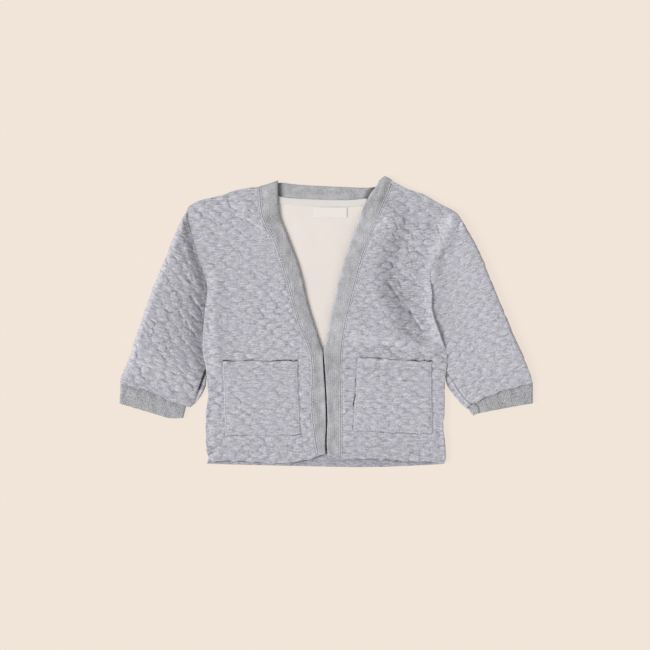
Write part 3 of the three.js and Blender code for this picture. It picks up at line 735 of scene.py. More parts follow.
@dataclass
class Panel:
    """A piece of cloth drawn in its own frame: its outline, its height and its relief."""

    left_line: Array
    right_line: Array
    start: float
    end: float
    cloth_frame: ClothFrame = field(default_factory=ClothFrame)
    bottom_line: Array | None = None
    top_line: Array | None = None
    under: Height = flat
    cloth: float = VALLEY_CLOTH
    rims: tuple[Rim, Rim, Rim] = (Rim(), Rim(), Rim())  # left, right and ends
    quilting: Quilting | None = None
    share: Height = lambda x, y: np.ones_like(x)  # of the quilting's height
    relief: Height = flat
    creases: Height = flat
    pressed: Height = lambda x, y: np.full_like(x, -np.inf)
    reach: float = 40.0
    open_ends: bool = False
    pitch: float = 0.95  # between the points of the mesh
    row_pitch: float = 0.85
    divide: int = 4  # the plain side has a point at every so many points of the other
    scallop: float = 0.0  # how unevenly the edges run
    straight_from: float = 1e6  # from here on, along the cloth, the sides don't
    strip: bool = False  # a narrow slanting piece, cut straight
    free_top: bool = False
    shading: Height = flat  # painted light and shade, darker below zero
    DEEPEST = -1.25  # no fold comes nearer to the underside
    BROAD = 14  # the steps of the grid over which the large folds are told from the rest
    # BROAD_SHARE: how strongly the large folds' painted shade and light shows
    BROAD_SHARE = 0.3
    EDGE = np.array((0, 0.25, 0.7, 1.3, 2.1, 3.0))

    def __post_init__(self) -> None:
        """Turns the outline's tables into functions."""
        self.left = self.cloth_frame.side(self.left_line)
        self.right = self.cloth_frame.side(self.right_line)
        self.bottom = self._end_line(self.bottom_line, self.start)
        self.top = self._end_line(self.top_line, self.end)

    def _end_line(self, line: Array | None, at: float) -> Callable[[Array], Array]:
        """How far along each point of an end lies. Without a line it is straight."""
        return (lambda u: np.full_like(u, at)) if line is None else self.cloth_frame.end(line)

    def slope(self, side: Line, v: Array) -> Array:
        """How much longer a step across a slanting side is than one straight to it."""
        return np.hypot(1, side(v + 0.5) - side(v - 0.5))

    def place(self, u: Array, v: Array) -> tuple[Array, Array]:
        """The x and y of a point of the cloth. Rows near an end bend to its line.

        Args:
            u: the points' places across.
            v: the points' places along.

        Returns:
            The x and the y.
        """
        low = np.clip(1 - (v - self.start) / self.reach, 0, 1)
        high = np.clip(1 - (self.end - v) / self.reach, 0, 1)
        bent = v + low * (self.bottom(u) - self.start) + high * (self.top(u) - self.end)
        if not self.scallop:
            return self.cloth_frame.place(u, bent)
        left, right = self.left(v), self.right(v)
        across = np.clip((2 * u - left - right) / np.maximum(right - left, 1e-6), -1, 1)
        free = [rim.free(v) for rim in self.rims]
        sway = side_sway(v, np.sign(across)) * np.where(across < 0, free[0], free[1])
        sway = sway * np.abs(across) ** 10 * fall(v, self.straight_from - 8, self.straight_from)
        ends = bell(v, self.start, 3) + self.free_top * bell(v, self.end, 3)
        lift = end_sway(u) * free[2] * ends
        return self.cloth_frame.place(u + self.scallop * sway, bent + self.scallop * lift)

    def insets(self, u: Array, v: Array) -> tuple[Array, Array, Array]:
        """The distances from the left side, the right side and the nearer end."""
        from_left = (u - self.left(v)) / self.slope(self.left, v)
        from_right = (self.right(v) - u) / self.slope(self.right, v)
        ends = np.full_like(v, np.inf) if self.open_ends else np.minimum(v - self.start, self.end - v)
        return from_left, from_right, ends

    def edge(self, u: Array, v: Array, free: bool = False) -> Array:
        """0 at the cloth's edges, or at its free edges only, and 1 where their rounding ends.

        Args:
            u: the points' places across.
            v: the points' places along.
            free: whether sewn edges are left out.

        Returns:
            A share for each point.
        """
        made = np.ones_like(v)
        for inset, rim in zip(self.insets(u, v), self.rims):
            gone = 1 - rim.shape(inset, rim.at(v)[1])
            made = np.minimum(made, 1 - gone * (rim.free(v) if free else 1))
        return made

    def full(self, x: Array, y: Array, u: Array, v: Array) -> Array:
        """The height of the cloth's valleys away from its edges."""
        return self.under(x, y) + self.cloth

    def puffs(self, x: Array, y: Array, u: Array, v: Array) -> Array:
        """The relief and the creases, flattened under or beside a piece that presses on them.

        Args:
            x: the points' x.
            y: the points' y.
            u: the points' places across.
            v: the points' places along.

        Returns:
            The height over the valleys.
        """
        inside = self.pressed(x, y)
        kept = 1 - 0.85 * smoothstep(inside, -1.8, 1.0)
        made = self.relief(u, v) + self.creases(x, y) * fall(inside, -1.0, 2.0)
        if self.quilting is not None:
            made += self.quilting.bubbles(u, v) * kept * self.share(x, y)
            made += self.quilting.wrinkles(u, v) * (0.4 + 0.6 * kept)
        return np.maximum(made, self.DEEPEST)

    def surface(self, u: Array, v: Array) -> tuple[Array, Array]:
        """The upper side of the cloth.

        Args:
            u: across the cloth.
            v: along the cloth.

        Returns:
            The points, and the relief at each of them.
        """
        x, y = self.place(u, v)
        puffs = self.puffs(x, y, u, v)
        base, full = self.under(x, y), self.full(x, y, u, v) + puffs
        height = full
        for inset, rim in zip(self.insets(u, v), self.rims):
            high, reach = rim.at(v)
            shape = rim.shape(inset, reach)
            height = np.minimum(height, base + high + (full - base - high) * shape)
        return np.stack((x, y, height), -1), puffs * self.edge(u, v, free=True)

    def painted_shades(self, u: Array, v: Array, xyz: Array, puffs: Array) -> Array:
        """The light and shade painted into each point's colour: painted shade in hollows and along edges,
        painted light on ridges.

        Args:
            u: across the cloth.
            v: along the cloth.
            xyz: the points of the upper side.
            puffs: the relief at each of them.

        Returns:
            Below zero where it is darker.
        """
        x, y = xyz[..., 0], xyz[..., 1]
        # painted shade in small and large hollows, painted light on ridges, and each piece's own painted
        # shading
        broad = hollows(self.under(x, y) + self.full(x, y, u, v), self.BROAD)
        made = hollows(puffs) + self.BROAD_SHARE * np.clip(broad, -6, 3) + self.shading(x, y)
        # painted shade along the free edges, broken unevenly
        broken = np.clip(0.65 + 1.1 * Noise(Seed.RIM_SHADE).at(u / 6.5, v / 6.5), 0.1, 1.6)
        for inset, rim in zip(self.insets(u, v), self.rims):
            dark = rim.shade * rim.free(v) * broken
            made = made - dark * (1 - round_off(np.maximum(inset, 0), 1.7 * rim.round))
        return made

    def rows(self) -> Array:
        """How far along the cloth each row of the mesh lies."""
        ends = np.zeros(1) if self.open_ends else self.EDGE
        length = self.end - self.start
        inner = length - 2 * ends[-1]
        count = max(int(inner / self.row_pitch), 2)
        count += -(2 * (len(ends) - 1) + count) % self.divide
        between = np.linspace(self.start + ends[-1], self.end - ends[-1], count + 1)
        return np.concatenate((self.start + ends[:-1], between, (self.end - ends[:-1])[::-1]))

    def grid(self) -> tuple[Array, Array]:
        """The mesh's points: across and along, row by row."""
        v = self.rows()
        left, right = self.left(v), self.right(v)
        width = right - left
        inner = int(np.percentile(width, 85) / self.pitch)
        inner += -(2 * (len(self.EDGE) - 1) + inner) % self.divide
        edge = np.minimum(self.EDGE[-1], 0.3 * width)
        offsets = self.EDGE[None, :-1] / self.EDGE[-1] * edge[:, None]
        t = np.linspace(0, 1, inner + 1)[None]
        span = (width - 2 * edge)[:, None]
        between = left[:, None] + edge[:, None] + t * span
        u = np.concatenate(
            (left[:, None] + offsets, between, right[:, None] - offsets[:, ::-1]), axis=1
        )
        return u, np.repeat(v[:, None], u.shape[1], 1)

    def cut(self) -> tuple[tuple[float, float], float]:
        """The flat size of the cut in metres, and its area in square metres."""
        v = np.linspace(self.start, self.end, 400)
        middle = np.linspace(0, 1, 60)[None]
        left, right = self.left(v)[:, None], self.right(v)[:, None]
        u = left + (right - left) * middle
        x, y = self.place(u, np.repeat(v[:, None], u.shape[1], 1))
        across, along = self.cloth_frame.cloth(np.stack((x, y), -1))
        ax, ay = x[1:, 1:] - x[:-1, :-1], y[1:, 1:] - y[:-1, :-1]
        bx, by = x[1:, :-1] - x[:-1, 1:], y[1:, :-1] - y[:-1, 1:]
        area = float(np.abs(ax * by - ay * bx).sum() / 2) * MM * MM
        if self.strip:
            middle_width = (self.right(v) - self.left(v)) / self.slope(self.left, v)
            width = round(float(np.median(middle_width)) * MM, 4)
            return (width, round(area / width, 4)), round(area, 6)
        width, length = round(float(np.ptp(across)) * MM, 4), round(float(np.ptp(along)) * MM, 4)
        return (width, length), round(min(area, width * length), 6)


class Draft:
    """The points and faces of one piece while it is being made."""

    def __init__(self) -> None:
        """Starts with nothing."""
        self.points: list[Array] = []
        self.across: list[Array] = []
        self.along: list[Array] = []
        self.loft: list[Array] = []
        self.faces: list[list[int]] = []
        self.finish: list[int] = []
        self.count = 0

    def add(self, xyz: Array, u: Array, v: Array, loft: Array | float = 0.0) -> Array:
        """Adds points.

        Args:
            xyz: the points, in millimetres.
            u: across the cloth, for the weave.
            v: along the cloth, for the weave.
            loft: the light and shade painted into the colour: painted shade in hollows and along edges,
                painted light on ridges.

        Returns:
            The points' numbers, in the shape of u.
        """
        self.points.append(xyz.reshape(-1, 3))
        self.across.append(np.ravel(u))
        self.along.append(np.ravel(v))
        self.loft.append(np.ravel(np.broadcast_to(loft, np.shape(u))))
        numbers = np.arange(self.count, self.count + np.size(u)).reshape(np.shape(u))
        self.count += np.size(u)
        return numbers

    def face(self, table: Array, flip: bool, finish: int) -> None:
        """Adds faces, each a row of point numbers.

        Args:
            table: the faces.
            flip: whether they are turned over.
            finish: the number of their material.
        """
        table = table[:, ::-1] if flip else table
        self.faces += table.tolist()
        self.finish += [finish] * len(table)

    def sheet(self, grid: Array, flip: bool = False, finish: int = 0) -> None:
        """Adds the faces of a grid of points."""
        quads = np.stack((grid[:-1, :-1], grid[:-1, 1:], grid[1:, 1:], grid[1:, :-1]), -1)
        self.face(quads.reshape(-1, 4), flip, finish)

    def join(self, plain: Array, dense: Array, flip: bool = False, finish: int = 0) -> None:
        """Closes the gap between a row with few points and one with a whole number of times as many.

        Args:
            plain: the row with few points.
            dense: the other row.
            flip: whether the faces are turned over.
            finish: the number of their material.
        """
        step = (len(dense) - 1) // (len(plain) - 1)
        base = np.arange(len(plain) - 1)
        half = step // 2
        self.face(np.stack((plain[:-1], plain[1:], dense[base * step + half]), -1), flip, finish)
        for m in range(step):
            near = plain[:-1] if m < half else plain[1:]
            at = base * step + m
            self.face(np.stack((near, dense[at + 1], dense[at]), -1), flip, finish)

    def close(self, plain: Array, dense: Array, flip: bool = False) -> None:
        """Joins the four sides of two grids that lie over each other.

        Args:
            plain: the grid with few points.
            dense: the other grid.
            flip: whether the faces are turned over.
        """
        self.join(plain[0], dense[0], flip)
        self.join(plain[:, -1], dense[:, -1], flip)
        self.join(plain[-1, ::-1], dense[-1, ::-1], flip)
        self.join(plain[::-1, 0], dense[::-1, 0], flip)

    def piece(self, name: str, finishes: Sequence[bpy.types.Material]) -> bpy.types.Object:
        """Makes the object.

        Args:
            name: the piece's name.
            finishes: its materials, in the order of the faces' finish numbers.

        Returns:
            The object, smooth shaded and in metres.
        """
        mesh = bpy.data.meshes.new(name)
        mesh.from_pydata((np.concatenate(self.points) * MM).tolist(), [], self.faces)
        for material in finishes:
            mesh.materials.append(material)
        mesh.polygons.foreach_set("material_index", self.finish)
        mesh.polygons.foreach_set("use_smooth", [True] * len(mesh.polygons))
        # the loft attribute carries the painted light and shade that the finishes mix into their colours
        for key, values in (("across", self.across), ("along", self.along), ("loft", self.loft)):
            layer = mesh.attributes.new(key, "FLOAT", "POINT")
            layer.data.foreach_set("value", np.concatenate(values).astype(np.float32))
        mesh.update()
        made = bpy.data.objects.new(name, mesh)
        bpy.context.scene.collection.objects.link(made)
        return made


def wall(panel: Panel, draft: Draft, lining: int = 0) -> None:
    """Makes a panel's dense upper side, its plain underside and the edges between.

    Args:
        panel: the cloth.
        draft: takes the points and faces.
        lining: the finish number of the underside.
    """
    u, v = panel.grid()
    xyz, loft = panel.surface(u, v)
    # the upper side carries its painted light and shade
    upper = draft.add(xyz, u, v, panel.painted_shades(u, v, xyz, loft))
    draft.sheet(upper)
    k = panel.divide
    below = xyz[::k, ::k].copy()
    below[..., 2] = panel.under(below[..., 0], below[..., 1])
    lower = draft.add(below, u[::k, ::k], v[::k, ::k])
    draft.sheet(lower, flip=True, finish=lining)
    draft.close(lower, upper)


# Finishes


class Sum:
    """A shader value that Python's operators work on, each by its own Math node."""

    def __init__(self, graph: "Graph", socket: bpy.types.NodeSocket) -> None:
        """Wraps an output of a material's node."""
        self.graph, self.socket = graph, socket

    def _math(self, kind: str, a: "Sum | float", b: "Sum | float") -> "Sum":
        """The result of a Math node."""
        return self.graph.node("ShaderNodeMath", {"operation": kind}, {0: a, 1: b})

    def __add__(self, other: "Sum | float") -> "Sum":
        """self + other."""
        return self._math("ADD", self, other)

    __radd__ = __add__

    def __mul__(self, other: "Sum | float") -> "Sum":
        """self * other."""
        return self._math("MULTIPLY", self, other)

    __rmul__ = __mul__

    def __sub__(self, other: "Sum | float") -> "Sum":
        """self - other."""
        return self._math("SUBTRACT", self, other)

    def __rsub__(self, other: float) -> "Sum":
        """other - self."""
        return self._math("SUBTRACT", other, self)

    def __truediv__(self, other: float) -> "Sum":
        """self / other."""
        return self * (1 / other)

    def sine(self) -> "Sum":
        """The sine."""
        return self._math("SINE", self, 0.0)

    def clipped(self) -> "Sum":
        """The value held between 0 and 1."""
        return self.graph.node("ShaderNodeClamp", {}, {"Value": self})


class Graph:
    """The nodes of one material."""

    def __init__(self, name: str) -> None:
        """Makes an empty material.

        Args:
            name: the finish's name.
        """
        self.material = bpy.data.materials.new(name)
        self.material.use_nodes = True
        self.tree = self.material.node_tree
        self.tree.nodes.clear()

    def node(
        self, kind: str, settings: dict[str, Any], sockets: dict[int | str, Any], out: int | str = 0
    ) -> Sum | None:
        """Adds a node.

        Args:
            kind: the node's type.
            settings: its own settings.
            sockets: the value or the link of each input that isn't left alone.
            out: the output that is wanted.

        Returns:
            That output, if the node has outputs.
        """
        made = self.tree.nodes.new(kind)
        for key, value in settings.items():
            setattr(made, key, value)
        for key, value in sockets.items():
            if isinstance(value, Sum):
                self.tree.links.new(value.socket, made.inputs[key])
            else:
                made.inputs[key].default_value = value
        return Sum(self, made.outputs[out]) if made.outputs else None

    def value(self, name: str) -> Sum:
        """A number that the mesh carries at each point."""
        return self.node("ShaderNodeAttribute", {"attribute_name": name}, {}, "Fac")

    def vector(self, x: Sum | float, y: Sum | float, z: Sum | float = 0.0) -> Sum:
        """A vector of three numbers."""
        return self.node("ShaderNodeCombineXYZ", {}, {0: x, 1: y, 2: z})

    def noise(self, at: Sum, detail: float = 2.0, rough: float = 0.5) -> Sum:
        """Noise from 0 to 1, whose cells are one unit of the vector."""
        sockets = {"Vector": at, "Scale": 1.0, "Detail": detail, "Roughness": rough}
        return self.node("ShaderNodeTexNoise", {"noise_dimensions": "3D"}, sockets)

    def mix(self, share: Sum, a: Any, b: Any) -> Sum:
        """Two colours mixed."""
        return self.node("ShaderNodeMix", {"data_type": "RGBA"}, {0: share, 6: a, 7: b}, 2)

    def finish(self, sockets: dict[str, Any], height: Sum | None = None, depth: float = 0.0) -> None:
        """Ends the material with its surface.

        Args:
            sockets: the surface's own values and links.
            height: the fine relief, in millimetres over the smooth cloth.
            depth: how much of it shows.
        """
        if height is not None:
            bump = {"Strength": depth, "Distance": MM, "Height": height}
            sockets = sockets | {"Normal": self.node("ShaderNodeBump", {}, bump)}
        shader = self.node("ShaderNodeBsdfPrincipled", {}, sockets)
        self.node("ShaderNodeOutputMaterial", {}, {"Surface": shader})


def linear(red: float, green: float, blue: float, scale: float = 1.0) -> tuple[float, ...]:
    """A shader colour from a colour as a screen shows it, from 0 to 255.

    Args:
        red, green, blue: the colour.
        scale: how much lighter the result is.

    Returns:
        The colour for a socket.
    """
    made = []
    for c in (red, green, blue):
        s = c / 255
        made.append(scale * (s / 12.92 if s <= 0.04045 else ((s + 0.055) / 1.055) ** 2.4))
    return (*made, 1.0)


@dataclass(frozen=True)
class GreyMarl:
    """Quilted cotton in a grey marl: pale and dark yarns in short streaks along the rows."""

    name: str = "grey_marl_quilting"
    pale: tuple[float, float, float] = (215, 214, 220)
    dark: tuple[float, float, float] = (138, 137, 144)
    cool: tuple[float, float, float] = (186, 183, 198)
    # deepest: the colour that the darkest painted shade goes to
    deepest: tuple[float, float, float] = (70, 67, 72)
    depth: float = 0.8

    def make(self) -> bpy.types.Material:
        """The material."""
        g = Graph(self.name)
        u, v, loft = g.value("across"), g.value("along"), g.value("loft")
        streaks = g.noise(g.vector(u / 2.3, v / 1.25), 2.0, 0.65)
        lines = g.noise(g.vector(u / 7.5, v / 1.5, 2.0), 2.0, 0.6)
        slubs = g.noise(g.vector(u / 6.5, v / 3.4, 4.0), 1.0)
        patches = g.noise(g.vector(u / 26, v / 17, 9.0), 2.0)
        yarn = (streaks - 0.5) * 1.65 + (lines - 0.5) * 1.35 + (slubs - 0.5) * 0.4
        # loft adds painted shade in hollows and painted light on ridges
        tone = (yarn + loft * 0.3 + 0.5).clipped()
        colour = g.mix(tone, linear(*self.dark), linear(*self.pale))
        cool = ((patches - 0.42) * 2.6).clipped() * 0.35
        colour = g.mix(cool, colour, linear(*self.cool))
        # the darkest painted shade, along deep folds and shadow lines
        colour = g.mix(((loft + 1.3) * -0.7).clipped(), colour, linear(*self.deepest))
        height = lines * 0.55 + streaks * 0.35
        surface = {
            "Base Color": colour,
            "Roughness": 0.9 + (slubs - 0.5) * 0.1,
            "Specular IOR Level": 0.25,
            "Sheen Weight": 0.12,
            "Sheen Roughness": 0.6,
        }
        g.finish(surface, height, self.depth)
        return g.material


@dataclass(frozen=True)
class RibKnit:
    """Fine grey rib knit, flecked, with its ribs along the cloth."""

    name: str = "grey_rib_knit"
    pale: tuple[float, float, float] = (200, 199, 203)
    dark: tuple[float, float, float] = (138, 138, 141)
    rib: float = 2.3  # millimetres from rib to rib
    flecked: float = 1.5
    # deepest: the colour that the darkest painted shade goes to
    deepest: tuple[float, float, float] = (70, 67, 72)
    depth: float = 0.5

    def make(self) -> bpy.types.Material:
        """The material."""
        g = Graph(self.name)
        u, v, loft = g.value("across"), g.value("along"), g.value("loft")
        sway = g.noise(g.vector(u / 9, v / 14, 3.0), 1.0) * 1.6
        ribs = ((u + sway) * (2 * math.pi / self.rib)).sine() * 0.5 + 0.5
        flecks = g.noise(g.vector(u / 1.5, v / 1.8, 1.0), 2.0, 0.65)
        clouds = g.noise(g.vector(u / 8, v / 13, 6.0), 2.0)
        # loft adds painted shade in hollows and painted light on ridges
        tone = (flecks - 0.5) * self.flecked + (clouds - 0.5) * 1.0 + (ribs - 0.5) * 0.1 + loft * 0.3
        colour = g.mix((tone + 0.5).clipped(), linear(*self.dark), linear(*self.pale))
        # the darkest painted shade, along deep folds and shadow lines
        colour = g.mix(((loft + 1.3) * -0.7).clipped(), colour, linear(*self.deepest))
        height = ribs * 0.14 + flecks * 0.4
        surface = {
            "Base Color": colour,
            "Roughness": 0.92 + (flecks - 0.5) * 0.08,
            "Specular IOR Level": 0.25,
            "Sheen Weight": 0.1,
            "Sheen Roughness": 0.6,
        }
        g.finish(surface, height, self.depth)
        return g.material


@dataclass(frozen=True)
class PlainCloth:
    """Smooth fine cloth: the inside, the tape and the label."""

    name: str
    pale: tuple[float, float, float]
    dark: tuple[float, float, float]
    weave: float = 0.7
    depth: float = 0.25
    painted_shadow_tone: tuple[float, float, float] = (74, 70, 72)  # painted shadow where the bands all but cover it

    def make(self) -> bpy.types.Material:
        """The material."""
        g = Graph(self.name)
        u, v = g.value("across"), g.value("along")
        clouds = g.noise(g.vector(u / 24, v / 30), 2.0)
        lint = g.noise(g.vector(u / 1.4, v / 0.9, 5.0), 2.0)
        tone = ((clouds - 0.5) * 0.8 + (lint - 0.5) * 1.2 + 0.5).clipped()
        colour = g.mix(tone, linear(*self.dark), linear(*self.pale))
        # painted shadow where the loft attribute is deepest, in the slit between the front bands
        painted_shadow = (g.value("loft") * -0.5 - 1.0).clipped()
        colour = g.mix(painted_shadow, colour, linear(*self.painted_shadow_tone))
        step = 2 * math.pi / self.weave
        weave = (u * step).sine() * (v * step).sine()
        surface = {
            "Base Color": colour,
            "Roughness": 0.85 + (lint - 0.5) * 0.1,
            "Specular IOR Level": 0.25,
            "Sheen Weight": 0.1,
        }
        g.finish(surface, weave * 0.05 + lint * 0.12, self.depth)
        return g.material


@dataclass(frozen=True)
class Thread:
    """Pale sewing thread."""

    name: str = "pale_thread"
    tone: tuple[float, float, float] = (214, 213, 218)

    def make(self) -> bpy.types.Material:
        """The material."""
        g = Graph(self.name)
        u, v = g.value("across"), g.value("along")
        ply = g.noise(g.vector(u / 0.4, v / 0.5), 1.0)
        colour = g.mix(ply, linear(*self.tone, 0.86), linear(*self.tone, 1.06))
        surface = {"Base Color": colour, "Roughness": 0.7 + (ply - 0.5) * 0.1}
        g.finish(surface, ply * 0.1, 0.3)
        return g.material


@dataclass
class Wardrobe:
    """Every finish, made once."""

    marl: bpy.types.Material = field(default_factory=lambda: GreyMarl().make())
    rib: bpy.types.Material = field(default_factory=lambda: RibKnit().make())
    cuff: bpy.types.Material = field(
        default_factory=lambda: RibKnit("grey_cuff_knit", flecked=2.5, depth=0.9).make()
    )
    cream: bpy.types.Material = field(
        default_factory=lambda: PlainCloth("cream_inside", (236, 227, 221), (227, 218, 212)).make()
    )
    tape: bpy.types.Material = field(
        default_factory=lambda: PlainCloth("cream_tape", (227, 223, 219), (216, 212, 208)).make()
    )
    label: bpy.types.Material = field(
        default_factory=lambda: PlainCloth("blank_label", (236, 229, 224), (230, 223, 217)).make()
    )
    thread: bpy.types.Material = field(default_factory=lambda: Thread().make())


# Pieces


def settle(
    piece: bpy.types.Object,
    node: str,
    cut: tuple[tuple[float, float], float],
) -> bpy.types.Object:
    """Attaches a piece of cloth that stands for a solid, and hides the solid.

    Args:
        piece: the cloth.
        node: the solid that it stands for.
        cut: the flat size and area that it was cut to; not used.

    Returns:
        The piece.
    """
    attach(piece, "root")
    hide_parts(node)
    log.info("%s stands for %s: %d faces", piece.name, node, len(piece.data.polygons))
    return piece


def sew(sewing: Draft, name: str, thread: bpy.types.Material) -> bpy.types.Object:
    """Args:
        sewing: the draft.
        name: the piece's name.
        thread: its material.

    Returns:
        The piece.
    """
    stitches = sewing.piece(name, (thread,))
    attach(stitches, "root")
    return stitches


def over_back(x: Array, y: Array) -> Array:
    """The height of the underside of what lies on the back."""
    return UPPER_LAYER + body_drape(x, y)


@dataclass
class Back:
    """The back: smooth cream inside, and quilted outside that lies on the surface."""

    finishes: Wardrobe
    hem_turn: float = 20.0  # the quilted cloth turns in this far at the hem
    pressed_loft: float = 0.9
    # hem_shade: painted shade on the hem that shows below the fronts
    hem_shade: float = 0.8
    slit_shade: float = 5.0  # painted shadow on the cream between the front bands
    seam_share: float = 1.8  # the back reaches this far under the sleeves at the shoulders
    inset: float = 0.4  # its sides lie this far inside the fronts'
    seed: int = 3
    HEM = Rim(high=1.6, round=1.6)
    START = -172.0
    END = 150.0  # the rows end here before they bend to the shoulders
    PITCH = 1.5

    def side(self, table: Array) -> Array:
        """A side line for the rows, which press it down to its shoulder point at their end."""
        line = smooth(table)
        x, y = line[:, 0], line[:, 1]
        share = (y[-1] - self.END) / Panel.reach
        rows = (y - share * (Panel.reach - self.END)) / (1 + share)
        wider = self.seam_share * np.sign(x) * smoothstep(y, y[-1] - 12, y[-1])
        return np.stack((x + wider, np.where(y > self.END - Panel.reach, rows, y)), -1)

    def panel(self) -> Panel:
        """The back's outline."""
        top = np.concatenate(
            (smooth(LEFT_SHOULDER), smooth(BACK_NECK), smooth(RIGHT_SHOULDER)[::-1])
        )
        return Panel(
            left_line=self.side(LEFT_SIDE) + (self.inset, 0),
            right_line=self.side(RIGHT_SIDE) - (self.inset, 0),
            start=self.START,
            end=self.END,
            bottom_line=smooth(BACK_HEM),
            top_line=top,
            cloth=FLAT_CLOTH,
            rims=(self.HEM, self.HEM, self.HEM),
            pitch=self.PITCH,
            row_pitch=self.PITCH,
            divide=1,
        )

    def inside(self, x: Array, y: Array) -> Array:
        """The height of the inside, which lies a little unevenly."""
        wide, fine = Noise(Seed.INSIDE_WIDE), Noise(Seed.INSIDE_FINE)
        return wide.at(x / 34, y / 46) * 0.16 + fine.at(x / 13, y / 19) * 0.06 - 0.2

    def build(self) -> bpy.types.Object:
        """Makes the back."""
        panel = self.panel()
        draft = Draft()
        u, v = panel.grid()
        x, y = panel.place(u, v)
        edge = panel.edge(u, v)
        quilting = Quilting(loft=self.pressed_loft, seed=self.seed)
        relief = quilting.bubbles(u, v)
        deep = np.clip(self.pressed_loft - relief, 0, 1.1)
        below = 0.05 + deep * edge + 0.5 * (1 - edge)
        # the outside carries painted shade in its hollows
        outside = draft.add(np.stack((x, y, below), -1), u, v, hollows(relief))
        draft.sheet(outside, flip=True)
        hem_end = panel.start + self.hem_turn
        turned = int(np.searchsorted(v[:, 0], hem_end))
        hem = fall(v, hem_end - 2, hem_end)
        puffs = hem * (quilting.bubbles(u + 5, v + 3) + quilting.wrinkles(u, v) - 0.4)
        above = self.HEM.high + (FLAT_CLOTH + self.inside(x, y) + puffs - self.HEM.high) * edge
        # painted shadow in the slit, painted shade on the hem, and painted light and shade on the hem's
        # quilting
        slit_shadow = self.slit_shade * fall(y, -38, -32) * np.exp(-(((x + 2) / 9) ** 4))
        painted_shades = hollows(puffs) - self.hem_shade * hem - slit_shadow * (1 - hem)
        inside = draft.add(np.stack((x, y, above), -1), u, v, painted_shades)
        draft.sheet(inside[: turned + 1])
        draft.sheet(inside[turned:], finish=1)
        draft.close(inside, outside, flip=True)
        piece = draft.piece("back_cloth", (self.finishes.marl, self.finishes.cream))
        return settle(piece, "back", panel.cut())


@dataclass
class Stitches:
    """Rows of short stitches that lie in the cloth."""

    length: float = 2.6
    pitch: float = 3.2
    thick: float = 0.4
    sink: float = 0.02
    RING = 6
    STEPS = 5

    def run(self, draft: Draft, panel: Panel, u: Array, v: Array) -> None:
        """Adds a row of stitches along a path on a panel.

        Args:
            draft: takes the points and faces.
            panel: the cloth that the path lies on.
            u: across the cloth, along the path.
            v: along the cloth, along the path.
        """
        line, _ = panel.surface(u, v)
        steps = np.linalg.norm(np.diff(line, axis=0), axis=1)
        far = np.concatenate(([0], np.cumsum(steps)))
        count = int((far[-1] - self.length) / self.pitch) + 1
        number = np.arange(count)
        starts = number * self.pitch + 0.2 * Noise(Seed.STITCHES).cell(number, number // 7)
        t = np.linspace(0, 1, self.STEPS)
        s = starts[:, None] + t[None] * self.length
        centre = np.stack([np.interp(s, far, line[:, i]) for i in range(3)], -1)
        ahead = np.stack([np.interp(s + 0.3, far, line[:, i]) for i in range(3)], -1)
        along = ahead - centre
        along /= np.maximum(np.linalg.norm(along, axis=-1, keepdims=True), 1e-9)
        side = np.stack((along[..., 1], -along[..., 0], np.zeros(s.shape)), -1)
        side /= np.maximum(np.linalg.norm(side, axis=-1, keepdims=True), 1e-9)
        up = np.cross(side, along)
        taper = np.sin(np.pi * np.clip(t * 0.86 + 0.07, 0, 1)) ** 0.4
        rise = self.thick * np.sin(np.pi * t) ** 0.7 - self.sink
        angle = np.arange(self.RING) * 2 * math.pi / self.RING
        ring = centre[:, :, None] + self.thick * taper[None, :, None, None] * (
            side[:, :, None] * np.cos(angle)[:, None] + up[:, :, None] * np.sin(angle)[:, None]
        )
        ring[..., 2] += rise[None, :, None]
        us = np.broadcast_to(s[:, :, None], ring.shape[:3])
        numbers = draft.add(ring, us, us * 0 + angle)
        nxt = np.roll(numbers, -1, axis=2)
        quads = np.stack((numbers[:, :-1], nxt[:, :-1], nxt[:, 1:], numbers[:, 1:]), -1)
        draft.face(quads.reshape(-1, 4), False, 0)
        draft.face(numbers[:, 0, ::-1], False, 0)
        draft.face(numbers[:, -1], False, 0)


def topstitch(panel: Panel, at_left: bool, inset: float) -> Draft:
    """A row of stitches along the left or the right side of a panel, this far inside it.

    Args:
        panel: the panel.
        at_left: which side it runs along.
        inset: how far inside.

    Returns:
        The draft with the stitches.
    """
    sewing = Draft()
    v = np.linspace(panel.start + 5, panel.end - 3, 500)
    Stitches().run(sewing, panel, panel.left(v) + inset if at_left else panel.right(v) - inset, v)
    return sewing


